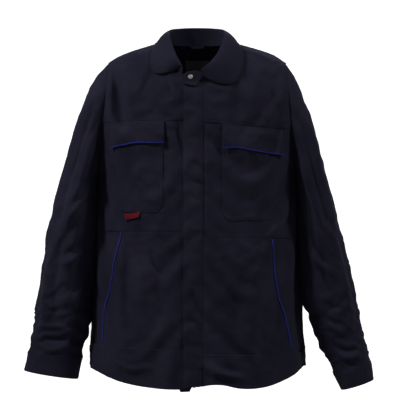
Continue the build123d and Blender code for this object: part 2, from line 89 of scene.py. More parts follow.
def noise(x, z, seed, scale):
    """Smooth seeded unevenness, about -1 to 1, with features of the given size."""
    rng = np.random.default_rng(seed)
    total = np.zeros(np.broadcast(x, z).shape)
    for _ in range(7):
        angle, phase = rng.uniform(0, TAU, 2)
        size = scale * rng.uniform(0.7, 1.6)
        total = total + np.sin((x * math.cos(angle) + z * math.sin(angle)) * TAU / size + phase)
    return total / 4


# ---------------------------------------------------------------- the body form
FRONT_TOP, FRONT_LOW = (-142, -82), (-205, -755)  # (y, z) on the straight closure line


def front_y(z):
    return FRONT_TOP[0] + (z - FRONT_TOP[1]) * (FRONT_LOW[0] - FRONT_TOP[0]) / (FRONT_LOW[1] - FRONT_TOP[1])


# height, half width, front, back
FORM = np.array([
    (-790, 244, front_y(-790), 88), (-670, 232, front_y(-670), 80), (-560, 222, front_y(-560), 72),
    (-420, 216, front_y(-420), 65), (-304, 222, front_y(-304), 70), (-220, 240, front_y(-220), 72),
    (-140, 247, front_y(-140), 66), (-82, 234, -142, 53), (-35, 192, -118, 36), (-12, 146, -100, 24),
    (7, 82, -78, 9),
], float)
form_at = curve(FORM[:, 0], FORM[:, 1:])
NECK_Y, NECK_A, NECK_B = -66, 66, 76  # the column that the collar stands on
ARM_TOP, ARM_LOW = (195, -50), (220, -304)  # (x, z) on the armhole plane
ARM_HIGH_Z, ARM_LOW_Z = -38.5, -311

# the front hem's height at x: it rises at the sides and a little beside the closure
HEM = [(-245, -706), (-215, -719), (-180, -731), (-144, -739), (-100, -744.5), (-40, -747), (-5, -744),
       (30, -737.5), (55, -738), (85, -745), (130, -747), (165, -742), (195, -732), (222, -718), (245, -704)]
hem_z = curve(*np.array(HEM, float).T)


def arm_x(z):
    return ARM_TOP[0] + (z - ARM_TOP[1]) * (ARM_LOW[0] - ARM_TOP[0]) / (ARM_LOW[1] - ARM_TOP[1])


def section_at(z):
    """The form's half width, middle y and half depth at a height."""
    section = form_at(z)
    half, front, back = section[..., 0], section[..., 1], section[..., 2]
    return half, (front + back) / 2, (back - front) / 2


def form_point(angle, z):
    """Angle 0 is the front, a quarter turn the wearer's left side, a half turn the back."""
    half, middle, depth = section_at(z)
    return np.stack([half * np.sin(angle), middle - depth * np.cos(angle), z + 0 * angle], -1)


def form_normal(angle, z):
    da = form_point(angle + 1e-3, z) - form_point(angle - 1e-3, z)
    dz = form_point(angle, z + 0.5) - form_point(angle, z - 0.5)
    return unit(np.cross(da, dz))


# ---------------------------------------------------------------- folds in the cloth
CREASE_STEPS = 24  # straight pieces that a crease's line is cut into


def crease(x, z, points, width, height):
    """A ridge, or a valley when height is negative, along a curved line, fading at both ends."""
    points = np.array(points, float)
    marks = np.linspace(0, 1, CREASE_STEPS + 1)
    line = curve(np.linspace(0, 1, len(points)), points)(marks)
    best = np.full(np.broadcast(x, z).shape, 1e9)
    fade = np.zeros_like(best)
    for k in range(CREASE_STEPS):
        start, run = line[k], line[k + 1] - line[k]
        t = np.clip(((x - start[0]) * run[0] + (z - start[1]) * run[1]) / (run @ run), 0, 1)
        d = np.hypot(x - start[0] - t * run[0], z - start[1] - t * run[1])
        near = d < best
        best = np.where(near, d, best)
        fade = np.where(near, np.sin(math.pi * np.clip((k + t) / CREASE_STEPS, 0, 1)) ** 0.6, fade)
    return height * fade * np.exp(-((best / width) ** 2))


FOLD_GAIN = 2.1
# line points (x, z), width, height
FRONT_CREASES = [
    ([(-188, -52), (-176, -110), (-160, -190)], 13, -5.5),
    ([(-201, -62), (-194, -110), (-188, -165)], 9, 3.5),
    ([(-150, -60), (-140, -110), (-128, -158)], 16, 2.5), ([(-104, -58), (-112, -84), (-124, -112)], 6, -2.2),
    ([(-70, -66), (-63, -92), (-55, -120)], 6, -2.0), ([(-44, -160), (-38, -195), (-29, -232)], 6, -2.2),
    ([(-58, -190), (-52, -250), (-60, -320)], 12, 2.2), ([(-103, -446), (-92, -480), (-77, -506)], 7, -2.6),
    ([(-150, -430), (-156, -520), (-150, -640)], 11, -4.0),
    ([(-128, -440), (-118, -540), (-124, -650)], 16, 3.0),
    ([(-60, -440), (-84, -540), (-70, -690)], 16, -2.0), ([(18, -610), (0, -570), (-14, -536)], 7, -2.2),
    ([(16, -640), (2, -612), (-16, -596)], 6, -1.8), ([(20, -702), (60, -716), (106, -722)], 7, 3.0),
    ([(20, -716), (66, -732), (120, -738)], 6, -2.6), ([(200, -300), (176, -340), (138, -372)], 10, -2.8),
    ([(206, -330), (186, -380), (150, -424)], 11, 2.8), ([(-206, -318), (-190, -360), (-172, -400)], 9, -3.0),
    ([(118, -232), (120, -262), (112, -292)], 17, -3.0), ([(60, -70), (90, -110), (100, -160)], 13, -2.0),
    ([(150, -52), (168, -100), (182, -160)], 14, -3.2), ([(120, -450), (128, -540), (118, -650)], 18, 3.2),
    ([(60, -460), (84, -560), (76, -680)], 16, -2.8), ([(160, -470), (176, -560), (172, -640)], 10, -2.6),
    ([(-180, -690), (-140, -706), (-96, -700)], 8, 2.6), ([(-10, -250), (0, -262), (12, -268)], 5, -1.4),
    ([(-22, -280), (-8, -296), (10, -306)], 5, -1.4), ([(-24, -318), (-10, -330), (8, -342)], 5, -1.3),
]
BACK_CREASES = [
    ([(-150, -60), (-110, -120), (-60, -150)], 15, -2.5), ([(150, -60), (112, -118), (64, -150)], 15, -2.5),
    ([(-196, -300), (-150, -350), (-96, -372)], 12, -3.6), ([(198, -296), (150, -344), (92, -370)], 12, -3.6),
    ([(-190, -340), (-140, -396), (-70, -420)], 12, 3.0), ([(190, -338), (138, -392), (74, -424)], 12, 3.0),
    ([(-150, -440), (-140, -560), (-158, -740)], 18, -4.5),
    ([(-90, -450), (-96, -570), (-84, -745)], 20, 4.0),
    ([(-24, -440), (-34, -570), (-22, -745)], 17, -4.0), ([(38, -460), (30, -580), (44, -745)], 20, 4.0),
    ([(100, -440), (96, -560), (110, -745)], 18, -4.2), ([(160, -450), (166, -580), (156, -745)], 18, 3.6),
    ([(-40, -170), (-46, -240), (-36, -320)], 22, 2.4), ([(60, -180), (56, -260), (66, -330)], 20, -2.2),
]

SIM_FRAMES, SIM_PITCH = 34, 9.0
BODY_GAP = 7.0  # the body that the cloth settles on lies this far inside it
EASE = 0.035  # the cloth is cut this much too large
LEAST_HOLD = 0.02  # free cloth is still held back a little
SHARPEST = 0.8  # a simulated point stands out from its neighbours by no more than this
DEEPEST = 7.0  # the simulated folds stay within this
ARM_FADE = 22.0  # the folds die out over this distance from the armhole seam
SETTLED = {}  # the simulated folds of the body and of each sleeve


def simulated(points, ways, pins, seed, flip=True):
    """Let a tube of cloth that is cut a little too large settle under its own weight round a body.

    points and ways are the grid and its way out, in millimetres. Returns how far each point moved outwards.
    """
    rows, columns = points.shape[:2]
    rough = np.random.default_rng(seed).normal(0, 0.5, (rows, columns, 1))
    start = points + ways * rough * (1 - pins[..., None])
    faces = grid_faces(rows, columns, 0, flip, True).tolist()

    def made(name, grid):
        mesh = bpy.data.meshes.new(name)
        mesh.from_pydata((grid.reshape(-1, 3) * MM).tolist(), [], faces)
        thing = bpy.data.objects.new(name, mesh)
        bpy.context.scene.collection.objects.link(thing)
        return thing

    cloth, inside = made("settling_cloth", start), made("settling_body", points - ways * BODY_GAP)
    inside.modifiers.new("hard", "COLLISION")
    inside.collision.thickness_outer = 0.001
    inside.collision.cloth_friction = 12
    group = cloth.vertex_groups.new(name="held")
    for index, weight in enumerate(pins.ravel()):
        group.add([index], float(weight), "REPLACE")
    settle = cloth.modifiers.new("settle", "CLOTH")
    settings = settle.settings
    settings.quality, settings.mass = 7, 0.12
    settings.tension_stiffness = settings.compression_stiffness = 12
    settings.shear_stiffness, settings.bending_stiffness = 6, 0.35
    settings.air_damping = 2.0
    settings.vertex_group_mass = "held"
    settings.pin_stiffness = 1.0
    settings.shrink_min = -EASE
    settle.collision_settings.distance_min = 0.001
    settle.point_cache.frame_end = SIM_FRAMES
    scene = bpy.context.scene
    for number in range(1, SIM_FRAMES + 1):
        scene.frame_set(number)
    shown = cloth.evaluated_get(bpy.context.evaluated_depsgraph_get()).to_mesh()
    places = np.empty(rows * columns * 3)
    shown.vertices.foreach_get("co", places)
    moved = ((places.reshape(rows, columns, 3) / MM - points) * ways).sum(-1)
    scene.frame_set(1)
    for thing in (cloth, inside):
        mesh = thing.data
        bpy.data.objects.remove(thing)
        bpy.data.meshes.remove(mesh)
    return moved


def field(values, first, step):
    """A bilinear look-up in a grid of values that closes round; first and step are (row, column) pairs."""
    rows, columns = values.shape

    def at(row, column):
        r = np.clip((row - first[0]) / step[0], 0, rows - 1.001)
        c = (column - first[1]) / step[1] % columns
        r0, c0 = np.floor(r).astype(int), np.floor(c).astype(int) % columns
        c1 = (c0 + 1) % columns
        fr, fc = r - r0, c - np.floor(c)
        top = values[r0, c0] * (1 - fc) + values[r0, c1] * fc
        low = values[r0 + 1, c0] * (1 - fc) + values[r0 + 1, c1] * fc
        return top * (1 - fr) + low * fr

    return at


def eased(values):
    """A grid of values with its sharpest dents and peaks taken out."""
    wide = np.pad(values, 1, mode="edge")
    beside = (wide[:-2, 1:-1] + wide[2:, 1:-1] + wide[1:-1, :-2] + wide[1:-1, 2:]) / 4
    return beside + np.clip(values - beside, -SHARPEST, SHARPEST)


def settled_body():
    """The body cloth's own folds, from a simulation, by angle and height."""
    columns = int(1340 / SIM_PITCH)
    heights = np.arange(4.0, -742, -SIM_PITCH)
    step = TAU / columns
    angle, z = np.meshgrid(-math.pi + step * np.arange(columns), heights)
    points, ways = on_cloth(angle, z)
    arm = np.exp(-((np.abs(np.abs(points[..., 0]) - arm_x(z)) / 14) ** 2)) * (z < -30) * (z > -310)
    closure = 0.5 * np.exp(-((points[..., 0] / 26) ** 2)) * (np.cos(angle) > 0)
    top = smoothstep((z + 60) / 40)
    pins = np.clip(np.maximum(np.maximum(arm, top), np.maximum(closure, LEAST_HOLD)), 0, 1)
    moved = eased(simulated(points, ways, pins, 5))
    return field(moved, (heights[0], -math.pi), (-SIM_PITCH, step))


def body_folds(angle, z):
    """How far the worn cloth stands out from the form before it settles, in millimetres."""
    x, facing = form_point(angle, z)[..., 0], np.cos(angle)
    front, back = (sum(crease(x, z, *each) for each in creases) for creases in (FRONT_CREASES, BACK_CREASES))
    around = angle * 215
    drape = 2.2 * noise(around, z * 0.22, 3, 95) * smoothstep((-z - 330) / 300)
    ripple = 1.0 * noise(around, z, 11, 60) + 0.45 * noise(around, z, 23, 26)
    share = smoothstep(0.5 + facing * 3)
    front, back = front * FOLD_GAIN, back * FOLD_GAIN
    flank = 4.5 * np.exp(-((facing / 0.45) ** 2)) * smoothstep((-z - 320) / 60) * smoothstep((z + 640) / 90)
    return flank + front * share + back * (1 - share) + drape + ripple


def folds(angle, z):
    """How far the worn cloth stands out from the form, in millimetres."""
    total = body_folds(angle, z)
    if "body" in SETTLED:
        total = total + np.clip(SETTLED["body"](z, angle), -DEEPEST, DEEPEST)
    x = form_at(z)[..., 0] * np.abs(np.sin(angle))
    at_seam = (1 - smoothstep((arm_x(z) - x) / ARM_FADE)) * smoothstep((z - ARM_LOW_Z) / 20)
    return total * (1 - at_seam)


def on_cloth(angle, z, height=0.0):
    """A point on the worn cloth, and the way out of it."""
    out = form_normal(angle, z)
    return form_point(angle, z) + out * (folds(angle, z) + height)[..., None], out


def at_x(x, z, back=False):
    """The angle at which the form stands x from the middle at height z."""
    angle = np.arcsin(np.clip(x / form_at(z)[..., 0], -0.9999, 0.9999))
    return math.pi - angle if back else angle


# ---------------------------------------------------------------- mesh helpers
def new_object(name, vertices, faces, finish, uv=None, smooth=True):
    """A mesh object from points in millimetres."""
    mesh = bpy.data.meshes.new(name)
    mesh.from_pydata((np.asarray(vertices, float) * MM).tolist(), [], faces)
    if uv is not None:
        layer = mesh.uv_layers.new(name="Cloth")
        corner = np.empty(len(mesh.loops), np.int32)
        mesh.loops.foreach_get("vertex_index", corner)
        layer.data.foreach_set("uv", (np.asarray(uv, float)[corner] * MM).astype(np.float32).ravel())
    mesh.materials.append(finish)
    mesh.polygons.foreach_set("use_smooth", [smooth] * len(mesh.polygons))
    mesh.update()
    piece = bpy.data.objects.new(name, mesh)
    bpy.context.scene.collection.objects.link(piece)
    return piece


def grid_faces(rows, columns, start=0, flip=False, closed=False):
    """Quads of a grid, row by row."""
    r, c = np.meshgrid(np.arange(rows - 1), np.arange(columns if closed else columns - 1), indexing="ij")
    a = start + r * columns + c
    b = start + r * columns + (c + 1) % columns
    quads = np.stack([a, b, b + columns, a + columns], -1).reshape(-1, 4)
    return quads[:, ::-1] if flip else quads


def soft_edge(distance, radius):
    """1 inside a panel, falling to 0 at its edge in a quarter circle."""
    d = np.clip(distance / radius, 0, 1)
    return np.sqrt(1 - (1 - d) ** 2)


def edge_steps(length, pitch, radius):
    """Positions from 0 to 1 along a panel, with extra ones near both edges for a rolled edge."""
    near = np.array([0, 0.12, 0.45, 1.0]) * radius / length
    count = max(2, int(round((length - 2 * radius) / pitch)))
    return np.concatenate([near, np.linspace(near[-1], 1 - near[-1], count + 1)[1:-1], 1 - near[::-1]])


THIN_EDGE = 0.25  # a rolled edge keeps this share of its inner half


def cloth_grid(name, surface, width, length, finish, lift=0.0, thick=CLOTH, pitch=5.0, radius=1.2, puff=None):
    """A closed sheet. surface(u, v, height) gives points and normals; u and v run from 0 to 1."""
    u, v = np.meshgrid(edge_steps(width, pitch, radius), edge_steps(length, pitch, radius))
    roll = soft_edge(np.minimum(np.minimum(u, 1 - u) * width, np.minimum(v, 1 - v) * length), radius)
    bulge = puff(u, v) if puff else 0.0
    outer, out = surface(u, v, lift + bulge + thick * (roll - 0.5) / 2 + thick / 2)
    inner = outer - out * (thick * np.clip(roll, THIN_EDGE, 1))[..., None]
    return sheet_from(name, outer, inner, u * width, v * length, finish)


def sheet_from(name, outer, inner, across, along, finish, closed=False):
    """A closed thin body between two grids."""
    rows, columns = outer.shape[:2]
    count = rows * columns
    faces = [grid_faces(rows, columns, 0, True, closed), grid_faces(rows, columns, count, False, closed)]
    index = np.arange(count).reshape(rows, columns)
    wrap = np.arange(columns if closed else columns - 1)
    rims = [(index[0, wrap], index[0, (wrap + 1) % columns], False),
            (index[-1, wrap], index[-1, (wrap + 1) % columns], True)]
    if not closed:
        rims += [(index[:-1, 0], index[1:, 0], True), (index[:-1, -1], index[1:, -1], False)]
    for a, b, flip in rims:
        rim = np.stack([a, b, b + count, a + count], -1)
        faces.append(rim[:, ::-1] if flip else rim)
    vertices = np.concatenate([outer.reshape(-1, 3), inner.reshape(-1, 3)])
    uv = np.stack([across, along], -1).reshape(-1, 2)
    piece = new_object(name, vertices, np.concatenate(faces).tolist(), finish, np.concatenate([uv, uv]))
    piece["flat"] = measured(outer)
    mend_normals(piece)
    return piece


def mend_normals(piece):
    """Turn every face outwards."""
    work = bmesh.new()
    work.from_mesh(piece.data)
    bmesh.ops.recalc_face_normals(work, faces=work.faces)
    work.to_mesh(piece.data)
    work.free()


FLAT_MARGIN = 1.01  # a cut sheet is this much larger than its longest row
LEAST_AREA = 0.31  # of its rectangle


def measured(grid):
    """Width, length and area of a cloth grid, in metres."""
    across = np.linalg.norm(np.diff(grid, axis=1), axis=-1).sum(1)
    along = np.linalg.norm(np.diff(grid, axis=0), axis=-1).sum(0)
    a, b = grid[1:, 1:] - grid[:-1, :-1], grid[1:, :-1] - grid[:-1, 1:]
    area = np.linalg.norm(np.cross(a, b), axis=-1).sum() / 2
    width, length = across.max() * MM * FLAT_MARGIN, along.max() * MM * FLAT_MARGIN
    return [float(width), float(length), float(max(area * MM * MM, LEAST_AREA * width * length))]


NARROWEST = 0.01  # metres; narrower tape isn't a sheet


def cloth_piece(piece, body, slot, *nodes, held="hung"):
    """Attach a sheet of cloth to its body and hide the CAD nodes it stands for; its flat size is read and
    dropped, and slot, its finish, is not used.
    """
    if body:
        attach(piece, body)
    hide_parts(*nodes)
    width, length, area = piece["flat"]
    min(width, length) > NARROWEST
    del piece["flat"]
    return piece


# ---------------------------------------------------------------- materials
SHEEN_ROUGH, SHEEN_TINT = 0.45, (0.75, 0.8, 1.0, 1)


def material(name, rough=0.9, sheen=0.0, metal=0.0, specular=0.3):
    """A Principled material and its node tree's handy parts."""
    made = bpy.data.materials.new(name)
    made.use_nodes = True
    shader = made.node_tree.nodes["Principled BSDF"]
    shader.inputs["Roughness"].default_value = rough
    shader.inputs["Metallic"].default_value = metal
    shader.inputs["Specular IOR Level"].default_value = specular
    shader.inputs["Sheen Weight"].default_value = sheen
    shader.inputs["Sheen Roughness"].default_value = SHEEN_ROUGH
    shader.inputs["Sheen Tint"].default_value = SHEEN_TINT
    return made, made.node_tree.nodes, made.node_tree.links, shader


def node(nodes, kind, **values):
    """A new shader node with its settings and unlinked inputs set."""
    made = nodes.new(kind)
    for key, value in values.items():
        if key in made.inputs:
            made.inputs[key].default_value = value
        else:
            setattr(made, key, value)
    return made


def mapped(nodes, links, source, low, high, start=0.0, end=1.0, **settings):
    """A value from start to end, mapped onto low to high."""
    ends = {"From Min": start, "From Max": end, "To Min": low, "To Max": high}
    ramp = node(nodes, "ShaderNodeMapRange", **ends, **settings)
    links.new(source, ramp.inputs["Value"])
    return ramp.outputs["Result"]


def times_plus(nodes, links, source, factor, more):
    """source * factor + more."""
    sum_node = node(nodes, "ShaderNodeMath", operation="MULTIPLY_ADD")
    links.new(source, sum_node.inputs[0])
    sum_node.inputs[1].default_value = factor
    links.new(more, sum_node.inputs[2])
    return sum_node.outputs["Value"]


def between(nodes, links, factor, low, high):
    """A colour between two."""
    mix = node(nodes, "ShaderNodeMix", data_type="RGBA")
    mix.inputs["A"].default_value = (*low, 1)
    mix.inputs["B"].default_value = (*high, 1)
    links.new(factor, mix.inputs["Factor"])
    return mix.outputs["Result"]


WAVE_SCALE = math.pi / 10  # a wave texture of scale 1 repeats every pi / 10 metres
TWILL_ANGLE = math.radians(58)
WEAR = 0.10  # worn cloth is this much smoother


def woven(name, low, high, pitch=1.1, diagonal=True, sheen=0.02, rough=0.88, bump=0.3, specular=0.04):
    """Woven cloth: a twill or plain weave on the sheet's own metres, slow colour change and paler wear."""
    made, nodes, links, shader = material(name, rough, sheen, specular=specular)
    uv = node(nodes, "ShaderNodeUVMap", uv_map="Cloth")
    place = node(nodes, "ShaderNodeTexCoord")
    turn = node(nodes, "ShaderNodeMapping", Rotation=(0, 0, TWILL_ANGLE if diagonal else 0))
    weave = node(nodes, "ShaderNodeTexWave", Scale=WAVE_SCALE / (pitch * MM), Distortion=0.8, Detail=1.0)
    yarn = node(nodes, "ShaderNodeTexNoise", Scale=1.6 / (pitch * MM), Detail=2.0)
    cloud = node(nodes, "ShaderNodeTexNoise", Scale=14.0, Detail=4.0, Roughness=0.6)
    links.new(uv.outputs["UV"], turn.inputs["Vector"])
    links.new(turn.outputs["Vector"], weave.inputs["Vector"])
    links.new(turn.outputs["Vector"], yarn.inputs["Vector"])
    links.new(place.outputs["Object"], cloud.inputs["Vector"])
    weave_out, cloud_out = weave.outputs["Fac"], cloud.outputs["Fac"]
    shade = times_plus(nodes, links, weave_out, 0.45, mapped(nodes, links, cloud_out, 0.0, 0.55, 0.3, 0.7))
    links.new(between(nodes, links, shade, low, high), shader.inputs["Base Color"])
    polish = mapped(nodes, links, cloud_out, rough - WEAR, rough + 0.06)
    links.new(polish, shader.inputs["Roughness"])
    bumps = node(nodes, "ShaderNodeBump", Strength=bump, Distance=0.0004)
    links.new(times_plus(nodes, links, yarn.outputs["Fac"], 0.5, weave_out), bumps.inputs["Height"])
    links.new(bumps.outputs["Normal"], shader.inputs["Normal"])
    return made


def metal(name, colour, rough):
    """Plated or plain metal with faint scratches and uneven polish."""
    made, nodes, links, shader = material(name, rough, metal=1.0, specular=0.5)
    place = node(nodes, "ShaderNodeTexCoord")
    grain = node(nodes, "ShaderNodeTexNoise", Scale=900.0, Detail=3.0)
    links.new(place.outputs["Object"], grain.inputs["Vector"])
    polish = mapped(nodes, links, grain.outputs["Fac"], rough * 0.7, min(rough * 1.5, 1))
    links.new(polish, shader.inputs["Roughness"])
    shade = between(nodes, links, grain.outputs["Fac"], [c * 0.8 for c in colour], colour)
    links.new(shade, shader.inputs["Base Color"])
    return made


NAVY = woven("navy_twill", (0.0076, 0.0075, 0.0145), (0.0180, 0.0174, 0.0310), specular=0.02, sheen=0.01)
# the navy twill again, made darker as painted shade for the pieces inside the jacket: facings, wind flap,
# collar stand and hanger loop
NAVY_SHADED = woven("navy_painted_shade", (0.0066, 0.0066, 0.0126), (0.0155, 0.0150, 0.0265), specular=0.02, sheen=0.01)
LINING = woven("lining", (0.012, 0.012, 0.017), (0.024, 0.024, 0.033), diagonal=False)
THREAD = woven("navy_thread", (0.018, 0.018, 0.034), (0.032, 0.032, 0.056), pitch=0.5, sheen=0.0, bump=0.1)
BLUE = woven("blue_piping", (0.011, 0.014, 0.120), (0.022, 0.027, 0.210), pitch=0.7, rough=0.65)
RED = woven("red_tab", (0.055, 0.004, 0.006), (0.105, 0.008, 0.014), pitch=0.7, diagonal=False)
LABEL = woven("label_cloth", (0.060, 0.060, 0.072), (0.110, 0.110, 0.122), pitch=0.5,
              diagonal=False, rough=0.6)
TAPE = woven("zip_tape", (0.010, 0.010, 0.016), (0.022, 0.022, 0.032), pitch=0.7, diagonal=False)
HOOKS = woven("hook_tape", (0.007, 0.007, 0.009), (0.018, 0.018, 0.023), pitch=1.6, bump=0.9, rough=0.95)
NICKEL = metal("nickel", (0.62, 0.61, 0.60), 0.25)
BRASS = metal("brass", (0.42, 0.33, 0.17), 0.38)


def panel(node_name, surface, width, length, *nodes, finish=NAVY, body="jacket", slot="navy_cloth",
          held="hung", **grid):
    """The sheet of cloth that stands for one CAD node, or for the nodes given."""
    piece = cloth_grid(f"{node_name}_cloth", surface, width, length, finish, **grid)
    return cloth_piece(piece, body, slot, *(nodes or [node_name]), held=held)


# ---------------------------------------------------------------- body panels
def seam_line(near_z, far_z):
    """A front seam's height at distance |x| from the middle."""
    return lambda x: near_z + (far_z - near_z) * np.abs(x) / 200


YOKE = {-1: seam_line(-162, -168), 1: seam_line(-167, -182)}
WAIST = {-1: seam_line(-407, -407), 1: seam_line(-420, -423)}
BAND = {-1: seam_line(-664, -658), 1: seam_line(-672, -676)}
CLOSING = {-1: 12.0, 1: 14.0}  # the fronts' closure edges, from the middle
BACK_YOKE_Z, BACK_WAIST_Z, BACK_BAND_Z = -150, -413, -666
NECK_TOP_Z = 5.5


def level(value):
    return lambda x: value + 0 * x


def arm_limit(z):
    """The angle of the armhole, or of the side seam below and above it, on the front left."""
    inside = (z < ARM_HIGH_Z) & (z > ARM_LOW_Z)
    seam = QUARTER + 0 * z
    cut = np.arcsin(np.clip(arm_x(z) / form_at(z)[..., 0], -1, 1))
    return np.where(inside, np.minimum(cut, seam), seam)


def neck_limit(z):
    """The angle at which the form leaves the neck column, on the front left."""
    angles = np.linspace(0, QUARTER, 200)
    z = np.asarray(z, float)
    point = form_point(angles[None, :] + 0 * z.reshape(-1, 1), z.reshape(-1, 1) + 0 * angles[None, :])
    inside = (point[..., 0] / (NECK_A + 0.5)) ** 2 + ((point[..., 1] - NECK_Y) / (NECK_B + 0.5)) ** 2 < 1
    last = np.where(inside.any(1), inside.shape[1] - 1 - inside[:, ::-1].argmax(1), 0)
    return angles[last].reshape(z.shape)


def body_surface(side, near, far, top, low, back=False):
    """surface(u, v, height) over a panel: near and far are angles by height, top and low heights by x."""
    def surface(u, v, height):
        z = top(0 * u) * (1 - v) + low(0 * u) * v
        for _ in range(4):
            a, b = near(z), far(z)
            angle = a + u * (b - a)
            x = form_at(z)[..., 0] * np.sin(angle)
            z = top(x) * (1 - v) + low(x) * v
        angle = side * angle
        return on_cloth(math.pi - angle if back else angle, z, height)

    return surface


# slanted hand pockets: (x, z) of the opening's ends, by side
SLANT = {-1: ((167, -412), (209, -646)), 1: ((163, -428), (207, -660))}
SLANT_BOW = {-1: 3.5, 1: -4.5}  # how far the opening bows outwards half way down
TUCK = 9  # the side piece reaches this far in under the front


def slant_x(side, z):
    (top_x, top_z), (low_x, low_z) = SLANT[side]
    t = (z - top_z) / (low_z - top_z)
    return top_x + t * (low_x - top_x) + SLANT_BOW[side] * np.sin(math.pi * np.clip(t, 0, 1))


def back_hem_z(x):
    return -738 + 29 * smoothstep((np.abs(x) - 110) / 130)


def build_body():
    """Fronts, sides, hem bands and backs, each a separate sheet."""
    for side, name in SIDES.items():
        def near(z):
            return np.maximum(at_x(CLOSING[side] + 0 * z, z), neck_limit(z))

        def slant(z):
            return at_x(slant_x(side, z), z)

        def tucked(z):
            return at_x(slant_x(side, z) - TUCK, z)

        yoke, waist, band = YOKE[side], WAIST[side], BAND[side]
        # name, near and far edges, top and low edges, width and length, lift, thickness
        fronts = [
            ("front_yoke", near, arm_limit, level(NECK_TOP_Z), lambda x: yoke(x) - 1, 215, 175, 0.9, CLOTH),
            ("chest_panel", near, arm_limit, yoke, waist, 225, 245, 0.0, CLOTH),
            ("skirt_front", near, slant, waist, band, 190, 252, 1.0, CLOTH),
            ("skirt_side", tucked, level(QUARTER), waist, band, 110, 252, -1.2, CLOTH),
            ("hem_band", near, level(QUARTER), lambda x: band(x) + 1, lambda x: hem_z(side * x), 300, 90,
             1.6, DOUBLE),
        ]
        for part, start, end, top, low, width, length, lift, thick in fronts:
            surface = body_surface(side, start, end, top, low)
            panel(f"{part}_{name}", surface, width, length, lift=lift, thick=thick)

    backs = [
        ("back_yoke", level(NECK_TOP_Z), level(BACK_YOKE_Z - 1), 400, 165, 0.9, CLOTH),
        ("back_panel", level(BACK_YOKE_Z), level(BACK_WAIST_Z), 430, 264, 0.0, CLOTH),
        ("back_skirt", level(BACK_WAIST_Z), level(BACK_BAND_Z), 520, 254, 1.0, CLOTH),
        ("hem_band_back", level(BACK_BAND_Z + 1), back_hem_z, 600, 90, 1.6, DOUBLE),
    ]
    for part, top, low, width, length, lift, thick in backs:
        surface = body_surface(1, lambda z: -arm_limit(z), arm_limit, top, low, back=True)
        panel(part, surface, width, length, lift=lift, thick=thick)


SETTLED["body"] = settled_body()
build_body()


# ---------------------------------------------------------------- sleeves
# ribs: inner x, inner z, outer x, outer z, middle y, half depth; x outwards
RIBS = {
    -1: [(222, -306, 197, -44, -41, 60), (224.5, -311, 229, -80, -41, 70), (226.5, -317, 256, -136, -41, 75),
         (228.5, -324, 279, -205, -42, 77), (230, -332, 300, -278, -43, 76), (231, -345, 318, -345, -44, 73),
         (231.5, -400, 328, -400, -45, 66), (234, -453, 337, -453, -47, 61), (238, -560, 353, -560, -54, 54),
         (243, -634, 365, -634, -62, 48), (254, -684, 373, -676, -70, 43), (265, -735, 381, -717, -76, 38)],
    1: [(222, -306, 197, -44, -41, 60), (224.5, -311, 226, -88, -41, 70), (226.5, -317, 246, -143, -41, 75),
        (228.5, -324, 266, -208, -42, 77), (230, -332, 286, -278, -43, 76), (231, -345, 305, -345, -44, 73),
        (231.5, -400, 318, -400, -45, 66), (233, -453, 330, -453, -47, 61), (240, -560, 354, -559, -54, 54),
        (262, -640, 368, -632, -62, 48), (301, -719, 383, -696, -70, 43), (321, -759, 389, -737, -76, 38)],
}
CUFF_RIB = 10  # the rib at the cuff seam
UNDER_ANGLE = math.acos(2 * 0.24 - 1)  # the under sleeve starts this far round from the outer side


def rib_steps(side):
    """Distance down the sleeve of each rib's middle."""
    ribs = np.array(RIBS[side], float)
    return run_along(np.stack([(ribs[:, 0] + ribs[:, 2]) / 2, ribs[:, 4], (ribs[:, 1] + ribs[:, 3]) / 2], -1))


STEPS = {side: rib_steps(side) for side in SIDES}
RIB_AT = {side: curve(STEPS[side], RIBS[side]) for side in SIDES}
ROOT_LENGTH = 60  # the armhole's shape passes into the ribs' over this distance


def armhole_ring(turn):
    """A point on the armhole edge; turn 0 is the top and a half turn the underarm, sin > 0 the front."""
    z = (ARM_HIGH_Z + ARM_LOW_Z) / 2 + (ARM_HIGH_Z - ARM_LOW_Z) / 2 * np.cos(turn)
    half, middle, depth = section_at(z)
    ratio = np.clip(arm_x(z) / half, 0, 1)
    y = middle - np.sign(np.sin(turn)) * depth * np.sqrt(1 - ratio ** 2)
    return np.stack([arm_x(z) + 0.5, y, z], -1)


def rib_point(rib, turn):
    """A point on a rib's ellipse."""
    inner, outer = rib[..., [0, 1]], rib[..., [2, 3]]
    middle, reach = (inner + outer) / 2, (outer - inner) / 2
    flat = middle + reach * np.cos(turn)[..., None]
    return np.stack([flat[..., 0], rib[..., 4] - rib[..., 5] * np.sin(turn), flat[..., 1]], -1)


def sleeve_point(side, turn, s):
    """turn 0 is the outer side, a quarter turn the front, a half turn the inner side."""
    root = rib_point(RIB_AT[side](0 * s), turn)
    mend = (armhole_ring(turn) - root) * (1 - smoothstep(s / ROOT_LENGTH))[..., None]
    return (rib_point(RIB_AT[side](s), turn) + mend) * np.array([side, 1, 1])


def sleeve_normal(side, turn, s):
    around = sleeve_point(side, turn + 2e-3, s) - sleeve_point(side, turn - 2e-3, s)
    down = sleeve_point(side, turn, s + 0.5) - sleeve_point(side, turn, s - 0.5)
    return unit(np.cross(around, down)) * side


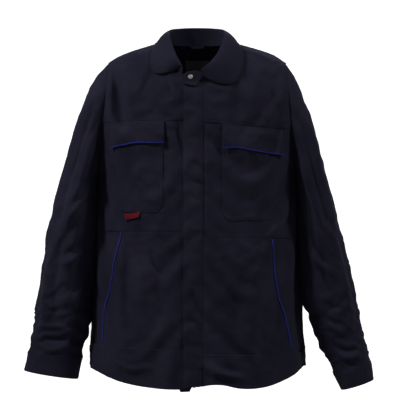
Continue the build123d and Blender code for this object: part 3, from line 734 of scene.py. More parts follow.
# sleeve folds on (turn in degrees, distance down), width, height; turn 90 is the front, 0 the outer side
SLEEVE_CREASES = {
    -1: [([(60, 20), (66, 130), (58, 260)], 11, -4.5), ([(92, 40), (100, 150), (92, 250)], 12, 3.0),
         ([(30, 30), (36, 150), (26, 300)], 13, 3.0), ([(78, 270), (70, 380), (80, 520)], 11, -3.5),
         ([(104, 300), (98, 420), (108, 560)], 10, 3.0), ([(50, 300), (44, 420), (52, 560)], 12, 3.2),
         ([(120, 90), (112, 170), (86, 230)], 9, -3.2), ([(124, 150), (108, 210), (76, 262)], 9, 2.8),
         ([(130, 300), (104, 330), (70, 342)], 8, -3.4), ([(130, 330), (100, 356), (62, 362)], 8, 3.0),
         ([(120, 540), (90, 556), (54, 552)], 7, -2.6), ([(120, 566), (88, 580), (50, 576)], 7, 2.4),
         ([(20, 560), (34, 580), (60, 590)], 7, -2.0)],
    1: [([(40, 30), (50, 150), (44, 300)], 13, 3.4), ([(74, 40), (84, 150), (76, 260)], 12, -3.2),
        ([(108, 60), (112, 160), (100, 260)], 10, 2.6), ([(60, 280), (54, 400), (62, 560)], 13, 3.6),
        ([(92, 290), (98, 400), (92, 540)], 12, -3.4), ([(120, 250), (112, 320), (88, 360)], 9, -3.0),
        ([(124, 290), (110, 352), (76, 388)], 9, 2.8), ([(26, 300), (20, 420), (28, 560)], 12, -2.6),
        ([(118, 560), (92, 584), (60, 582)], 7, -2.4), ([(118, 590), (90, 606), (56, 604)], 7, 2.2)],
}
CREASE_REACH = 0.88  # the folds' distances down the sleeve are scaled by this
DEGREE = 1.15  # millimetres that a degree of turn stands for in a fold's width
SIDE_TOUCH = {-1: 500, 1: 440}  # the sleeve lies close to the body down to here
SIDE_FLAT = {-1: 7.5, 1: 6.0}  # and stands this much nearer to it


def sleeve_folds(side, turn, s):
    """How far the sleeve's cloth stands out from its ribs' surface."""
    degrees = (np.degrees(turn) + 180) % 360 - 180
    across, seed = degrees * DEGREE, 40 + side
    total = np.zeros(turn.shape)
    for line, width, height in SLEEVE_CREASES[side]:
        placed = [(a * DEGREE, d * CREASE_REACH) for a, d in line]
        behind = [(-a * DEGREE - 8, (d * 0.97 + 14) * CREASE_REACH) for a, d in line]
        total = total + FOLD_GAIN * crease(across, s, placed, width, height)
        total = total + crease(across, s, behind, width, height)
    wrapped, wide = np.sin(turn) * 60, np.cos(turn) * 60
    fine = 0.9 * noise(wrapped + wide, s, seed, 55) + 0.4 * noise(wrapped - wide, s, seed + 9, 24)
    slow = 1.2 * noise(wrapped, s * 0.35, seed + 4, 70)
    inner = np.exp(-(((degrees - np.sign(degrees) * 180) / 60) ** 2))
    total = total + SIDE_FLAT[side] * inner * smoothstep((s - 150) / 50) * smoothstep(
        (SIDE_TOUCH[side] - s) / 80)
    if side in SETTLED:
        total = total + np.clip(SETTLED[side](s, turn), -DEEPEST, DEEPEST)
    return (total + fine + slow) * smoothstep(s / 30) * smoothstep((STEPS[side][-1] - s) / 25)


def on_sleeve(side, turn, s, height):
    out = sleeve_normal(side, turn, s)
    return sleeve_point(side, turn, s) + out * (sleeve_folds(side, turn, s) + height)[..., None], out


def bend(piece):
    """Bake a sleeve piece's placement into its mesh."""
    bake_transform(piece)


SLEEVE_SHARE = 0.8  # of the simulated folds that the sleeves keep
SLEEVE_COLUMNS = 48


def settled_sleeve(side):
    """A sleeve's own folds, from a simulation, by distance down the sleeve and turn."""
    step = TAU / SLEEVE_COLUMNS
    turn, s = np.meshgrid(step * np.arange(SLEEVE_COLUMNS), np.arange(0, STEPS[side][-1], SIM_PITCH))
    points, ways = on_sleeve(side, turn, s, 0 * s)
    held = np.maximum(1 - s / 25, smoothstep((s - STEPS[side][CUFF_RIB] + 12) / 20))
    moved = simulated(points, ways, np.clip(held, LEAST_HOLD, 1), 7 + side, side < 0)
    return field(SLEEVE_SHARE * moved, (0.0, 0.0), (SIM_PITCH, step))


CUFF_COLUMNS = 72


def build_sleeves():
    """Each sleeve's top and under panels and its cuff."""
    for side, name in SIDES.items():
        cuff_s, end_s = STEPS[side][CUFF_RIB], STEPS[side][-1]
        panels = [("top", -UNDER_ANGLE, UNDER_ANGLE, 270, 0.8),
                  ("under", UNDER_ANGLE, TAU - UNDER_ANGLE, 130, 0.0)]
        for part, turn_from, turn_to, width, lift in panels:
            def surface(u, v, height):
                return on_sleeve(side, turn_from + u * (turn_to - turn_from), v * (cuff_s + 1), height)

            nodes = [f"sleeve_{length}_{part}_{name}" for length in ("upper", "fore")]
            bend(panel(f"sleeve_{part}_{name}", surface, width, 600, *nodes, body=None, lift=lift))

        turns = np.linspace(0, TAU, CUFF_COLUMNS + 1)[:-1]
        turn, s = np.meshgrid(turns, cuff_s + edge_steps(end_s - cuff_s, 5, 1.2) * (end_s - cuff_s))
        roll = soft_edge(np.minimum(s - cuff_s, end_s - s), 1.2)
        outer, out = on_sleeve(side, turn, s, 0.7 + 1.5 * roll)
        inner = outer - out * (0.4 + 1.8 * roll)[..., None]
        piece = sheet_from(f"cuff_{name}_cloth", outer, inner, turn * 42, s, NAVY, closed=True)
        piece["flat"] = measured(np.concatenate([outer, outer[:, :1]], 1))
        cloth_piece(piece, f"forearm_{name}", "navy_cloth", f"cuff_{name}")


for arm in SIDES:
    SETTLED[arm] = settled_sleeve(arm)
build_sleeves()


# ---------------------------------------------------------------- pieces along a line
def tube(name, points, radius, finish, outs, sides=10):
    """A closed tube along points, in millimetres."""
    ahead = unit(np.gradient(points, axis=0))
    across = unit(np.cross(ahead, outs))
    up = np.cross(across, ahead)
    angles = np.linspace(0, TAU, sides, endpoint=False)
    turned_across = np.cos(angles)[None, :, None] * across[:, None]
    rings = points[:, None] + radius * (turned_across + np.sin(angles)[None, :, None] * up[:, None])
    count = len(points)
    faces = grid_faces(count, sides, 0, False, True).tolist()
    faces += [list(range(sides)), list(range((count - 1) * sides, count * sides))[::-1]]
    spread = np.broadcast_arrays(angles[None, :] * radius, run_along(points)[:, None])
    uv = np.stack(spread, -1).reshape(-1, 2)
    piece = new_object(name, rings.reshape(-1, 3), faces, finish, uv)
    mend_normals(piece)
    return piece


def piping(node_name, points, radius, outs):
    """A round blue cord in place of a CAD piping strip."""
    cord = tube(f"{node_name}_cord", points, radius, BLUE, outs)
    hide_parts(node_name)
    return cord


STITCH, STITCH_LENGTH, STITCH_RADIUS, STITCH_HEIGHT = 3.6, 2.7, 0.33, 0.429
DASH = np.array([(-0.5, 0, 0), (-0.3, 1, 0), (-0.3, 0, 1), (-0.3, -1, 0), (0.3, 1, 0), (0.3, 0, 1),
                 (0.3, -1, 0), (0.5, 0, 0)])
DASH_FACES = [(0, 2, 1), (0, 3, 2), (1, 2, 5, 4), (2, 3, 6, 5), (4, 5, 7), (5, 6, 7), (0, 1, 3), (1, 4, 6, 3),
              (4, 7, 6)]


def stitches(name, rows):
    """One piece of thread dashes. Each row is (points, outs) in millimetres."""
    vertices, faces = [], []
    for points, outs in rows:
        run = run_along(points)
        marks = np.arange(STITCH / 2, run[-1], STITCH)
        places = np.stack([np.interp(marks, run, points[:, k]) for k in range(3)], -1)
        nearest = [np.argmin(((points - place) ** 2).sum(1)) for place in places]
        ahead, out = unit(np.gradient(places, axis=0)), outs[nearest]
        side = unit(np.cross(ahead, out))
        for place, a, b, c in zip(places, ahead, side, out):
            start = len(vertices)
            spots = place + DASH @ np.stack([STITCH_LENGTH * a, STITCH_RADIUS * b, STITCH_HEIGHT * c])
            vertices.extend(spots.tolist())
            faces.extend([[start + k for k in face] for face in DASH_FACES])
    piece = new_object(name, vertices, faces, THREAD, np.array(vertices)[:, [0, 2]])
    mend_normals(piece)
    return piece


def body_line(points, height, count=60, side=1):
    """A line on the worn front through (x, z) points; x is mirrored when side is -1."""
    points = np.array(points, float)
    run = run_along(points)
    marks = np.linspace(0, run[-1], count)
    x, z = side * np.interp(marks, run, points[:, 0]), np.interp(marks, run, points[:, 1])
    return on_cloth(at_x(x, z), z, height + 0 * x)


def on_mesh(piece, points, outs, clear=0.15):
    """Move points along their outward ways onto the outer face of a piece."""
    mesh = piece.data
    places = np.empty(len(mesh.vertices) * 3)
    mesh.vertices.foreach_get("co", places)
    places = places.reshape(-1, 3) / MM
    places = places[: len(places) // 2]
    moved = []
    for point, out in zip(points, outs):
        away = places - point
        along = away @ out
        sideways = (away ** 2).sum(1) - along ** 2
        near = np.argsort(sideways)[:4]
        weight = 1 / (sideways[near] + 0.05)
        moved.append(point + out * ((along[near] * weight).sum() / weight.sum() + clear))
    return np.array(moved), outs


# ---------------------------------------------------------------- chest pockets, flaps and the tab
# millimetres: x away from the closure, z the height; puff is how far the pocket swells
POCKETS = {
    -1: dict(near=74, far=176, top=-180, low=-365, flap=(71, 185), flap_top=(-164.5, -168),
             flap_low=[(71, -211.5), (100, -211.5), (140, -212.5), (160, -217), (185, -223)], puff=2.2),
    1: dict(near=54, far=176, top=-187, low=-383, flap=(55, 185.5), flap_top=(-171.5, -184),
            flap_low=[(55, -223), (84, -222), (120, -228), (150, -233), (185.5, -238.5)], puff=4.2),
}
CHAMFER = (13, 17)
POCKET_LIFT, FLAP_LIFT = 1.3, 2.9
FLAP_WIDTH, FLAP_LENGTH = 115, 48  # about, for placing its stitching
HOOK_FROM, HOOK_SPAN = (0.33, 0.52), 0.34  # the hook tape's place on the flap, in shares of it


def pocket_inset(z, low):
    """How far the pocket's lower corners are cut in at height z."""
    return CHAMFER[0] * np.clip((low + CHAMFER[1] - z) / CHAMFER[1], 0, 1)


def lift_flap(piece):
    """Bake a flap piece's placement into its mesh."""
    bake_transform(piece)


def build_pocket(side, name, near, far, top, low, puff):
    """A chest pocket and its stitching."""
    def swell(u, v):
        body = np.sin(math.pi * np.clip(u, 0, 1)) ** 0.7 * smoothstep((1 - v) * 3.2)
        uneven = 0.5 * noise(u * 100, v * 180, 61, 60) * body
        return puff * body * (0.75 + 0.25 * np.sin(v * 4.2 + 1)) + uneven

    surface = body_surface(side, lambda z: at_x(near + pocket_inset(z, low), z),
                           lambda z: at_x(far - pocket_inset(z, low), z), level(top), level(low))
    pocket = panel(f"chest_pocket_{name}", surface, far - near, 185, lift=POCKET_LIFT, puff=swell)
    rows = []
    for inset in (1.8, 8.0):
        near_x, far_x, low_z = near + inset, far - inset, low + inset
        cut_x, cut_z = (cut - inset * 0.3 for cut in CHAMFER)
        outline = [(near_x, top - 30), (near_x, low_z + cut_z), (near_x + cut_x, low_z),
                   (far_x - cut_x, low_z), (far_x, low_z + cut_z), (far_x, top - 30)]
        rows.append(on_mesh(pocket, *body_line(outline, 0, 150, side)))
    return rows


def build_flap(side, name, flap, flap_top, flap_low, puff):
    """A chest flap with its piping, hook tape and stitching. Returns its rows that stay on the body."""
    low_line = curve(*np.array(flap_low).T)

    def surface(u, v, height):
        x = flap[0] + u * (flap[1] - flap[0])
        top = flap_top[0] + u * (flap_top[1] - flap_top[0])
        z = top + v * (low_line(x) - top)
        return on_cloth(at_x(side * x, z), z, height)

    def swell(u, v):
        wave = 1.3 * np.sin(u * 6 + side) + 0.8 * np.sin(u * 11 + 1)
        return (POCKET_LIFT + puff * 0.55) * smoothstep(v * 3) * 0.9 + v ** 1.4 * (1.6 + wave * 0.6)

    def row(u, v):
        u, v = np.broadcast_arrays(u, v)
        return surface(u, v, FLAP_LIFT + 1.55 + swell(u, v))

    def hook_place(u, v):
        return HOOK_FROM[0] + HOOK_SPAN * u, HOOK_FROM[1] + HOOK_SPAN * v

    cloth = panel(f"chest_flap_{name}", surface, flap[1] - flap[0], 50, body=None, lift=FLAP_LIFT,
                  thick=DOUBLE, pitch=4, puff=swell)
    lift_flap(cloth)
    u = np.linspace(0, 1, 60)
    line, outs = surface(u, 1 + 0 * u, FLAP_LIFT + 0.1 + swell(u, 1 + 0 * u))
    lift_flap(piping(f"flap_piping_{name}", line - np.array([0, 0, 1.0]), 1.5, outs))
    panel(f"flap_hook_tape_{name}", lambda u, v, height: surface(*hook_place(u, v), height), 38, 15,
          finish=HOOKS, body=f"flap_{name}", slot="hook_tape", held="laid", lift=0.75, thick=0.9, pitch=3,
          puff=lambda u, v: swell(*hook_place(u, v)))

    rows = []
    for inset in (1.6, 7.4):
        end_u, end_v = inset / FLAP_WIDTH, inset / FLAP_LENGTH
        rows.append(row(np.linspace(end_u, 1 - end_u, 40), 1 - (inset + 1.2) / FLAP_LENGTH))
        v = np.linspace(0.02, 1 - end_v, 20)
        rows += [row(end_u, v), row(1 - end_u, v)]
    lift_flap(stitches(f"flap_stitching_{name}", rows))
    u = np.linspace(0, 1, 40)
    return [row(u, drop) for drop in (0.03, 0.16)]


for side, name in SIDES.items():
    sizes = POCKETS[side]
    pocket_rows = build_pocket(side, name, *(sizes[key] for key in ("near", "far", "top", "low", "puff")))
    top_rows = build_flap(side, name, *(sizes[key] for key in ("flap", "flap_top", "flap_low", "puff")))
    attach(stitches(f"pocket_stitching_{name}", top_rows + pocket_rows), "jacket")

# the tab's corners (x, z): top left, top right, low right, low left
RED_TAB = np.array([(-158, -369), (-123, -364), (-127, -376), (-155, -382)], float)


def red_surface(u, v, height):
    left, right, low_right, low_left = RED_TAB
    top = left + u[..., None] * (right - left)
    low = low_left + u[..., None] * (low_right - low_left)
    spot = top + v[..., None] * (low - top)
    return on_cloth(at_x(spot[..., 0], spot[..., 1]), spot[..., 1], height)


red_width, red_length = np.linalg.norm(RED_TAB[1] - RED_TAB[0]), np.linalg.norm(RED_TAB[3] - RED_TAB[0])
panel("pocket_tab", red_surface, red_width, red_length, finish=RED, slot="red_tab", lift=2.6, thick=1.0,
      pitch=3.0, radius=0.5, puff=lambda u, v: 1.5 * v)

# ---------------------------------------------------------------- facings, zip, wind flap and placket
INNER_TOP = -96  # where the facings and the wind flap start
FACING_WIDTH, FACING_LIFT = 46, -2.9
CLOSURE_OUT = unit(np.array([0, -1.0, -0.0936]))
ZIP_X, ZIP_TOP, ZIP_LOW, ZIP_DEPTH = -6.0, -92, -742, 3.7
TAPE_FROM, TAPE_WIDTH = 0.6, 12.5
TOOTH_PITCH, TOOTH_OUT = 3.0, 1.1
TOOTH, TOOTH_TAPER = np.array([1.9, 1.25, 0.62]), 0.75  # half sizes, and the share left at its inner end


def zip_line(z, shift):
    """Points on the zip, set a little behind the closure."""
    return np.stack([ZIP_X + shift + 0 * z, front_y(z) + ZIP_DEPTH, z], -1)


def build_teeth(side, name):
    """One row of teeth, as a single piece."""
    corners = np.array([(x, y, z) for z in (-1, 1) for y in (-1, 1) for x in (-1, 1)], float)
    quads = [(0, 1, 3, 2), (4, 6, 7, 5), (0, 4, 5, 1), (2, 3, 7, 6), (0, 2, 6, 4), (1, 5, 7, 3)]
    taper = np.where(corners[:, :1] * side < 0, TOOTH_TAPER, 1.0)
    tooth = corners * TOOTH * np.hstack([1 + 0 * taper, taper, taper])
    heights = np.arange(ZIP_LOW + 6, ZIP_TOP, TOOTH_PITCH) + (0 if side < 0 else TOOTH_PITCH / 2)
    vertices = zip_line(heights, side * TOOTH_OUT)[:, None] + tooth
    faces = [[8 * k + corner for corner in quad] for k in range(len(heights)) for quad in quads]
    chain = new_object(f"zip_chain_{name}_teeth", vertices.reshape(-1, 3), faces, BRASS, smooth=False)
    mend_normals(chain)
    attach(chain, "jacket")
    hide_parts(f"zip_chain_{name}")


def tape_surface(side):
    def surface(u, v, height):
        z = ZIP_TOP + v * (ZIP_LOW - ZIP_TOP)
        out = np.broadcast_to(CLOSURE_OUT, (*u.shape, 3))
        return zip_line(z, side * (TAPE_FROM + u * TAPE_WIDTH)) + out * height[..., None], out

    return surface


def wind_surface(u, v, height):
    x = -42 + u * 58
    low = np.interp(x, [-38, -36, -14, -12], [-742, -753, -752, -741])
    z = INNER_TOP + v * (low - INNER_TOP)
    wave = 1.2 * np.sin(v * 23) * np.abs(u - 0.5)
    point = np.stack([x, front_y(z) + 9.2 + wave, z], -1)
    out = np.broadcast_to(CLOSURE_OUT, point.shape)
    return point + out * height[..., None], out


for side, name in SIDES.items():
    facing = body_surface(side, lambda z: at_x(CLOSING[side] + 0 * z, z),
                          lambda z: at_x(CLOSING[side] + FACING_WIDTH, z), level(INNER_TOP),
                          lambda x: hem_z(side * x) + 6)
    panel(f"front_facing_{name}", facing, FACING_WIDTH, 650, finish=NAVY_SHADED, lift=FACING_LIFT)
for side, name in SIDES.items():
    panel(f"zip_tape_{name}", tape_surface(side), 13, 650, finish=TAPE, slot="zip_tape_cloth", lift=-0.6,
          thick=0.7, radius=0.4)
    build_teeth(side, name)
panel("wind_flap", wind_surface, 58, 668, finish=NAVY_SHADED)

FREE_X, FOLD_X = -29.0, 14.0  # the placket's free edge, and the line on which it folds back


def placket_top(x):
    """The placket starts just under the collar, a little lower at its free edge."""
    return -82 - 0.10 * (FOLD_X - x)


def placket_surface(u, v, height):
    x = FREE_X + u * (FOLD_X - FREE_X)
    z = placket_top(x) + v * (hem_z(x) + 4 - 0.06 * (FOLD_X - x) - placket_top(x))
    return on_cloth(at_x(x, z), z, height)


def placket_puff(u, v):
    """The placket's free edge stands a little proud, more so low down."""
    wave = 0.8 * np.sin(v * 31 + 1) + 0.6 * np.sin(v * 53)
    folded = 1.9 * smoothstep((u - 0.72) / 0.28)
    return (1 - u) ** 1.5 * (1.2 + wave * 0.7) + 0.9 * np.sin(math.pi * u) - folded


def fold_placket(piece):
    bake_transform(piece)


placket = panel("front_placket", placket_surface, 43, 665, body=None, lift=2.4, thick=DOUBLE, pitch=4.5,
                puff=placket_puff)
fold_placket(placket)


# ---------------------------------------------------------------- hand pockets
BAG_NEAR, BAG_NARROWING, BAG_SAG = 120, 8, 8.5


def build_hand_pocket(side, name):
    """A slanted opening's piping and the bag behind it."""
    (_, top_z), (_, low_z) = SLANT[side]
    z = np.linspace(top_z + 3, low_z - 3, 90)
    points, outs = on_cloth(at_x(side * (slant_x(side, z) - 0.6), z), z, 2.2 + 0 * z)
    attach(piping(f"hand_pocket_piping_{name}", points, 1.7, outs), "jacket")

    def near(z):
        return at_x(BAG_NEAR - BAG_NARROWING * smoothstep((top_z - 40 - z) / 120), z)

    def far(z):
        return at_x(slant_x(side, z) + 4, z)

    def sag(u, v):
        rim = np.minimum(np.minimum(u, 1 - u) * 5, np.minimum(v, 1 - v) * 9)
        return -BAG_SAG * smoothstep(rim)

    surface = body_surface(side, near, far, level(top_z - 3), level(low_z - 3))
    panel(f"hand_pocket_bag_{name}", surface, 72, 230, finish=LINING, slot="lining_cloth", lift=-4.4,
          thick=0.9, puff=sag)


for side, name in SIDES.items():
    build_hand_pocket(side, name)

# ---------------------------------------------------------------- collar
# the fold line (x, y, z), right front to left front
FOLD = [(-31, -141, -50), (-38, -136, -36), (-47, -125, -18), (-55, -104, 3), (-60, -78, 24), (-58, -40, 36),
        (-44, -10, 40), (-22, 4, 42), (0, 8, 42.5), (22, 4, 42), (44, -10, 40), (58, -40, 36), (60, -78, 24),
        (54, -104, 3), (43, -127, -20), (28, -139, -38), (10, -144.5, -55)]
# the leaf's edge (x, y, z); y None is worked out from the body
EDGE = [(-33, None, -50), (-48, None, -56), (-66, None, -62), (-88, None, -62.5), (-99, None, -53),
        (-101, None, -34), (-97, None, -14), (-66, 24, -6), (0, 41, -11), (66, 24, -6), (97, None, -12),
        (101, None, -34), (95, None, -60), (84, None, -79), (64, None, -85.5), (42, None, -82),
        (9, None, -70)]
# how far between the neck's ends each fold point and edge point lies
FOLD_AT = [0, 0.05, 0.115, 0.19, 0.26, 0.34, 0.41, 0.455, 0.5, 0.545, 0.59, 0.66, 0.74, 0.81, 0.885, 0.95, 1]
EDGE_AT = [0, 0.05, 0.095, 0.15, 0.2, 0.25, 0.3, 0.4, 0.5, 0.6, 0.7, 0.755, 0.8, 0.85, 0.9, 0.945, 1]
NECK_MIDDLE = np.array([0, NECK_Y, 0])
COLLAR_MIDDLE = np.array([0, NECK_Y, -60])
LEVEL = np.array([1, 1, 0])
EDGE_CLEAR, LEAF_CLEAR = 5.0, 3.6  # the leaf's edge and the leaf lie this far above the cloth
LEAF_WIDTH, LEAF_LENGTH, STAND_WIDTH, STAND_LENGTH = 420, 75, 390, 45
LEAF_HALF, STAND_HALF = 1.1, 0.8  # half thicknesses


def edge_point(x, y, z):
    if y is None:
        x, z = np.array(float(x)), np.array(float(z))
        return on_cloth(at_x(x, z), z, EDGE_CLEAR)[0]
    return np.array([x, y, z], float)


fold_line = curve(FOLD_AT, FOLD)
edge_line = curve(EDGE_AT, np.array([edge_point(*p) for p in EDGE]))


def leaf_points(u, v):
    """The collar leaf from its fold, v = 0, to its edge, v = 1."""
    fold, edge = fold_line(u), edge_line(u)
    outward = unit((fold - NECK_MIDDLE) * LEVEL)
    reach = np.linalg.norm(edge - fold, axis=-1, keepdims=True)
    control = fold + outward * (0.22 * reach) + np.array([0, 0, 1]) * (0.02 * reach + 3.0)
    control = control + unit(edge - fold) * 0.10 * reach
    t = v[..., None]
    wave = (0.9 * np.sin(u * 37) + 0.7 * np.sin(u * 61 + 1))[..., None] * outward * t * (1 - t) * 2
    return fold * (1 - t) ** 2 + control * 2 * t * (1 - t) + edge * t * t + wave


def clear_of_body(points, gap):
    """Push points out so that they stay above the worn cloth."""
    z = np.clip(points[..., 2], FORM[0, 0], 6)
    half, middle, depth = section_at(z)
    angle = np.arctan2(points[..., 0] / half, -(points[..., 1] - middle) / depth)
    base, out = on_cloth(angle, z, 0 * z)
    height = ((points - base) * out).sum(-1)
    lift = np.maximum(gap - height, 0) * (points[..., 2] < 6)
    return points + out * lift[..., None]


def collar_sheet(node_name, points, outward, half, roll, across, along, finish):
    """A sheet of even thickness on both sides of a grid of points; outward says which way is out."""
    du, dv = np.gradient(points, axis=1), np.gradient(points, axis=0)
    out = unit(np.cross(dv, du))
    out = out if (out * outward).sum() > 0 else -out
    outer = points + out * (half * roll)[..., None]
    inner = points - out * (half * np.clip(roll, THIN_EDGE, 1))[..., None]
    sheet = sheet_from(f"{node_name}_cloth", outer, inner, across, along, finish)
    return cloth_piece(sheet, "jacket", "navy_cloth", node_name, held="folded")


def build_leaf():
    u, v = np.meshgrid(edge_steps(LEAF_WIDTH, 4, 1.2), edge_steps(LEAF_LENGTH, 4, 1.2))
    points = clear_of_body(leaf_points(u, v), LEAF_CLEAR)
    roll = soft_edge(np.minimum(np.minimum(u, 1 - u) * LEAF_WIDTH, (1 - v) * LEAF_LENGTH), 1.2)
    across, along = u * LEAF_WIDTH, v * LEAF_LENGTH
    leaf = collar_sheet("collar_leaf", points, points - COLLAR_MIDDLE, LEAF_HALF, roll, across, along, NAVY)

    def row(u, v):
        line = clear_of_body(leaf_points(*np.broadcast_arrays(u, v)), LEAF_CLEAR)
        return on_mesh(leaf, line, unit(line - COLLAR_MIDDLE))

    inset = 5.5
    end, edge = inset / LEAF_WIDTH, 1 - inset / 70
    down = np.linspace(0.1, edge, 24)
    rows = [row(np.linspace(end, 1 - end, 200), edge), row(end, down), row(1 - end, down)]
    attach(stitches("collar_stitching", rows), "jacket")


def neck_foot(u):
    """Where the stand meets the neckline, from right front to left front."""
    turn = np.radians(np.where(u < 0.5, -152 * (1 - 2 * u), 169.5 * (2 * u - 1)))
    x, y = NECK_A * np.sin(turn), NECK_Y + NECK_B * np.cos(turn)
    marks, heights = [0, 30, 60, 90, 120, 140, 158, 170], [2, 2, 3, -6, -30, -56, -76, -79]
    return np.stack([x, y, np.interp(np.abs(np.degrees(turn)), marks, heights)], -1)


def build_stand():
    u, v = np.meshgrid(edge_steps(STAND_WIDTH, 4, 1.0), edge_steps(STAND_LENGTH, 4, 1.0))
    fold, foot = fold_line(u), neck_foot(u)
    inward = unit((NECK_MIDDLE - fold) * LEVEL)
    fold = fold + inward * 1.6 - np.array([0, 0, 0.8])
    bulge = np.sin(math.pi * v)[..., None] * inward * -1.5
    across, along = u * STAND_WIDTH, v * STAND_LENGTH
    roll = soft_edge(np.minimum(np.minimum(u, 1 - u) * STAND_WIDTH, np.minimum(v, 1 - v) * STAND_LENGTH), 1.0)
    points = foot + (fold - foot) * v[..., None] + bulge
    collar_sheet("collar_stand", points, -inward, STAND_HALF, roll, across, along, NAVY_SHADED)


build_leaf()
build_stand()

# the tab that closes the collar: upper and lower edges (x, z) from its root to its tip
TAB_TOP = np.array([(-33, -66), (-22, -60), (-8, -57), (5, -57.5), (12, -64)], float)
TAB_LOW = np.array([(-34, -82), (-26, -85), (-14, -88.5), (-3, -90), (12, -70)], float)
TAB_OUT = unit(np.array([0, -1.0, 0.12]))
TAB_REST_Y = -141.5  # the tab's root lies on the collar's stand here


def tab_surface(u, v, height):
    marks = np.linspace(0, 1, len(TAB_TOP))
    top = [np.interp(u, marks, TAB_TOP[:, k]) for k in (0, 1)]
    low = [np.interp(u, marks, TAB_LOW[:, k]) for k in (0, 1)]
    x, z = ((1 - v) * upper + v * lower for upper, lower in zip(top, low))
    half, middle, depth = section_at(z)
    y = np.minimum(middle - depth * np.sqrt(1 - (x / half) ** 2), TAB_REST_Y)
    out = np.broadcast_to(TAB_OUT, (*x.shape, 3))
    return np.stack([x, y, z], -1) + out * height[..., None], out


panel("collar_tab", tab_surface, 45, 25, held="laid", lift=5.0, thick=2.2, pitch=1.2, radius=0.7,
      puff=lambda u, v: 1.2 * np.sin(u * 3 + 0.6))


def turned(name, profile, place, axis, finish, sides=32):
    """A turned part: profile is (radius, height) pairs from the base to the top."""
    across = unit(np.cross(axis, [1, 0, 0.001]))
    up = np.cross(axis, across)
    angles = np.linspace(0, TAU, sides, endpoint=False)
    ring = np.cos(angles)[:, None] * across + np.sin(angles)[:, None] * up
    vertices = np.concatenate([place + axis * height + ring * radius for radius, height in profile])
    faces = grid_faces(len(profile), sides, 0, False, True).tolist()
    faces += [list(range(sides)), list(range((len(profile) - 1) * sides, len(profile) * sides))]
    piece = new_object(name, vertices, faces, finish)
    mend_normals(piece)
    return piece


SNAP_PROFILE = [(5.0, -0.6), (5.4, -0.2), (5.4, 0.3), (5.0, 0.75), (4.0, 1.15), (3.0, 1.35), (2.6, 1.28),
                (2.2, 1.2), (1.2, 1.28), (0.3, 1.3)]
snap_point, snap_out = tab_surface(np.array(0.42), np.array(0.38), np.array(7.2))
snap = turned("throat_snap_cap_dome", SNAP_PROFILE, snap_point, snap_out, NICKEL)
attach(snap, "jacket")
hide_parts("throat_snap_cap")


# ---------------------------------------------------------------- hanger loop and label
def loop_surface(u, v, height):
    """Tape from one end to the other across the back of the neck, standing off in the middle."""
    ends = smoothstep((np.abs(u - 0.5) - 0.36) / 0.12)
    y = -0.6 + 7.2 * ends + 0.05 * np.sin(u * 9)
    point = np.stack([(u - 0.5) * 45, y, (0.5 - v) * 6.0 - 1.2 * np.sin(math.pi * u)], -1)
    out = np.broadcast_to(np.array([0.0, -1.0, 0.0]), point.shape)
    return point + out * height[..., None], out


LABEL_WIDTH, LABEL_LENGTH, LABEL_TOP = 52, 48, -28


def label_surface(u, v, height):
    z = LABEL_TOP - v * LABEL_LENGTH
    point, out = on_cloth(at_x((u - 0.5) * LABEL_WIDTH, z, back=True), z, -1.6 - height)
    return point, -out


loop = cloth_grid("hanger_loop_tape", loop_surface, 47, 6, NAVY_SHADED, thick=1.1, pitch=1.5, radius=0.4)
cloth_piece(loop, "jacket", "navy_cloth", "hanger_loop", held="stretched")
panel("neck_label", label_surface, LABEL_WIDTH, LABEL_LENGTH, finish=LABEL, slot="label_cloth", held="laid",
      lift=0.3, thick=0.5, pitch=4, radius=0.3)

# ---------------------------------------------------------------- stitching on the body and the sleeves
TWIN = (1.6, 8.0)  # distances of a twin needle row from its seam
BODY_LIFT, YOKE_LIFT, SKIRT_LIFT, BAND_LIFT, PLACKET_LIFT = 1.15, 2.05, 2.15, 3.25, 4.2
SLEEVE_LIFT, CUFF_LIFT = 2.05, 2.75
ROW_START = {-1: 13.5, 1: 16}
# plain upright rows: x, top, low
UPRIGHTS = [(-45, -186, -408), (-45, -408, -664), (-52, -408, -664), (-59, -408, -664), (26, -180, -420),
            (26, -420, -672), (32, -420, -672)]
# level rows across the back: height, reach to each side, lift
ACROSS = [(BACK_YOKE_Z + 1.6, 55, YOKE_LIFT), (BACK_YOKE_Z + 8, 55, YOKE_LIFT),
          (BACK_WAIST_Z - 1.6, 86, SKIRT_LIFT), (BACK_BAND_Z - 1.0, 86, BAND_LIFT),
          (BACK_BAND_Z - 7.4, 86, BAND_LIFT)]


def level_row(side, height_of, degrees, lift, drop):
    """A row along a front seam, from near the closure round to an angle."""
    start = float(at_x(ROW_START[side], np.array(-400.0)))
    angle = np.linspace(start, math.radians(degrees), 90)
    z = height_of(form_at(-400 + 0 * angle)[..., 0] * np.sin(angle)) - drop
    return on_cloth(side * angle, z, lift + 0 * z)


def front_rows(side):
    rows = []
    for offset in TWIN:
        rows.append(level_row(side, YOKE[side], 57, YOKE_LIFT, -offset))
        rows.append(level_row(side, BAND[side], 89, BAND_LIFT, offset - 0.6))
    rows.append(level_row(side, WAIST[side], 80, SKIRT_LIFT, 1.6))
    z_top, z_low = (slant_end[1] for slant_end in SLANT[side])
    for offset in (3.2, 9.0):
        line = [(slant_x(side, z) - offset, z) for z in np.linspace(z_top, z_low, 30)]
        rows.append(body_line(line, SKIRT_LIFT, side=side))
    for drop in (0, 5.0):
        x = np.linspace(ROW_START[side], 236, 90)
        z = hem_z(side * x) + 30 - drop
        rows.append(on_cloth(at_x(side * x, z), z, BAND_LIFT + 0 * z))
    return rows


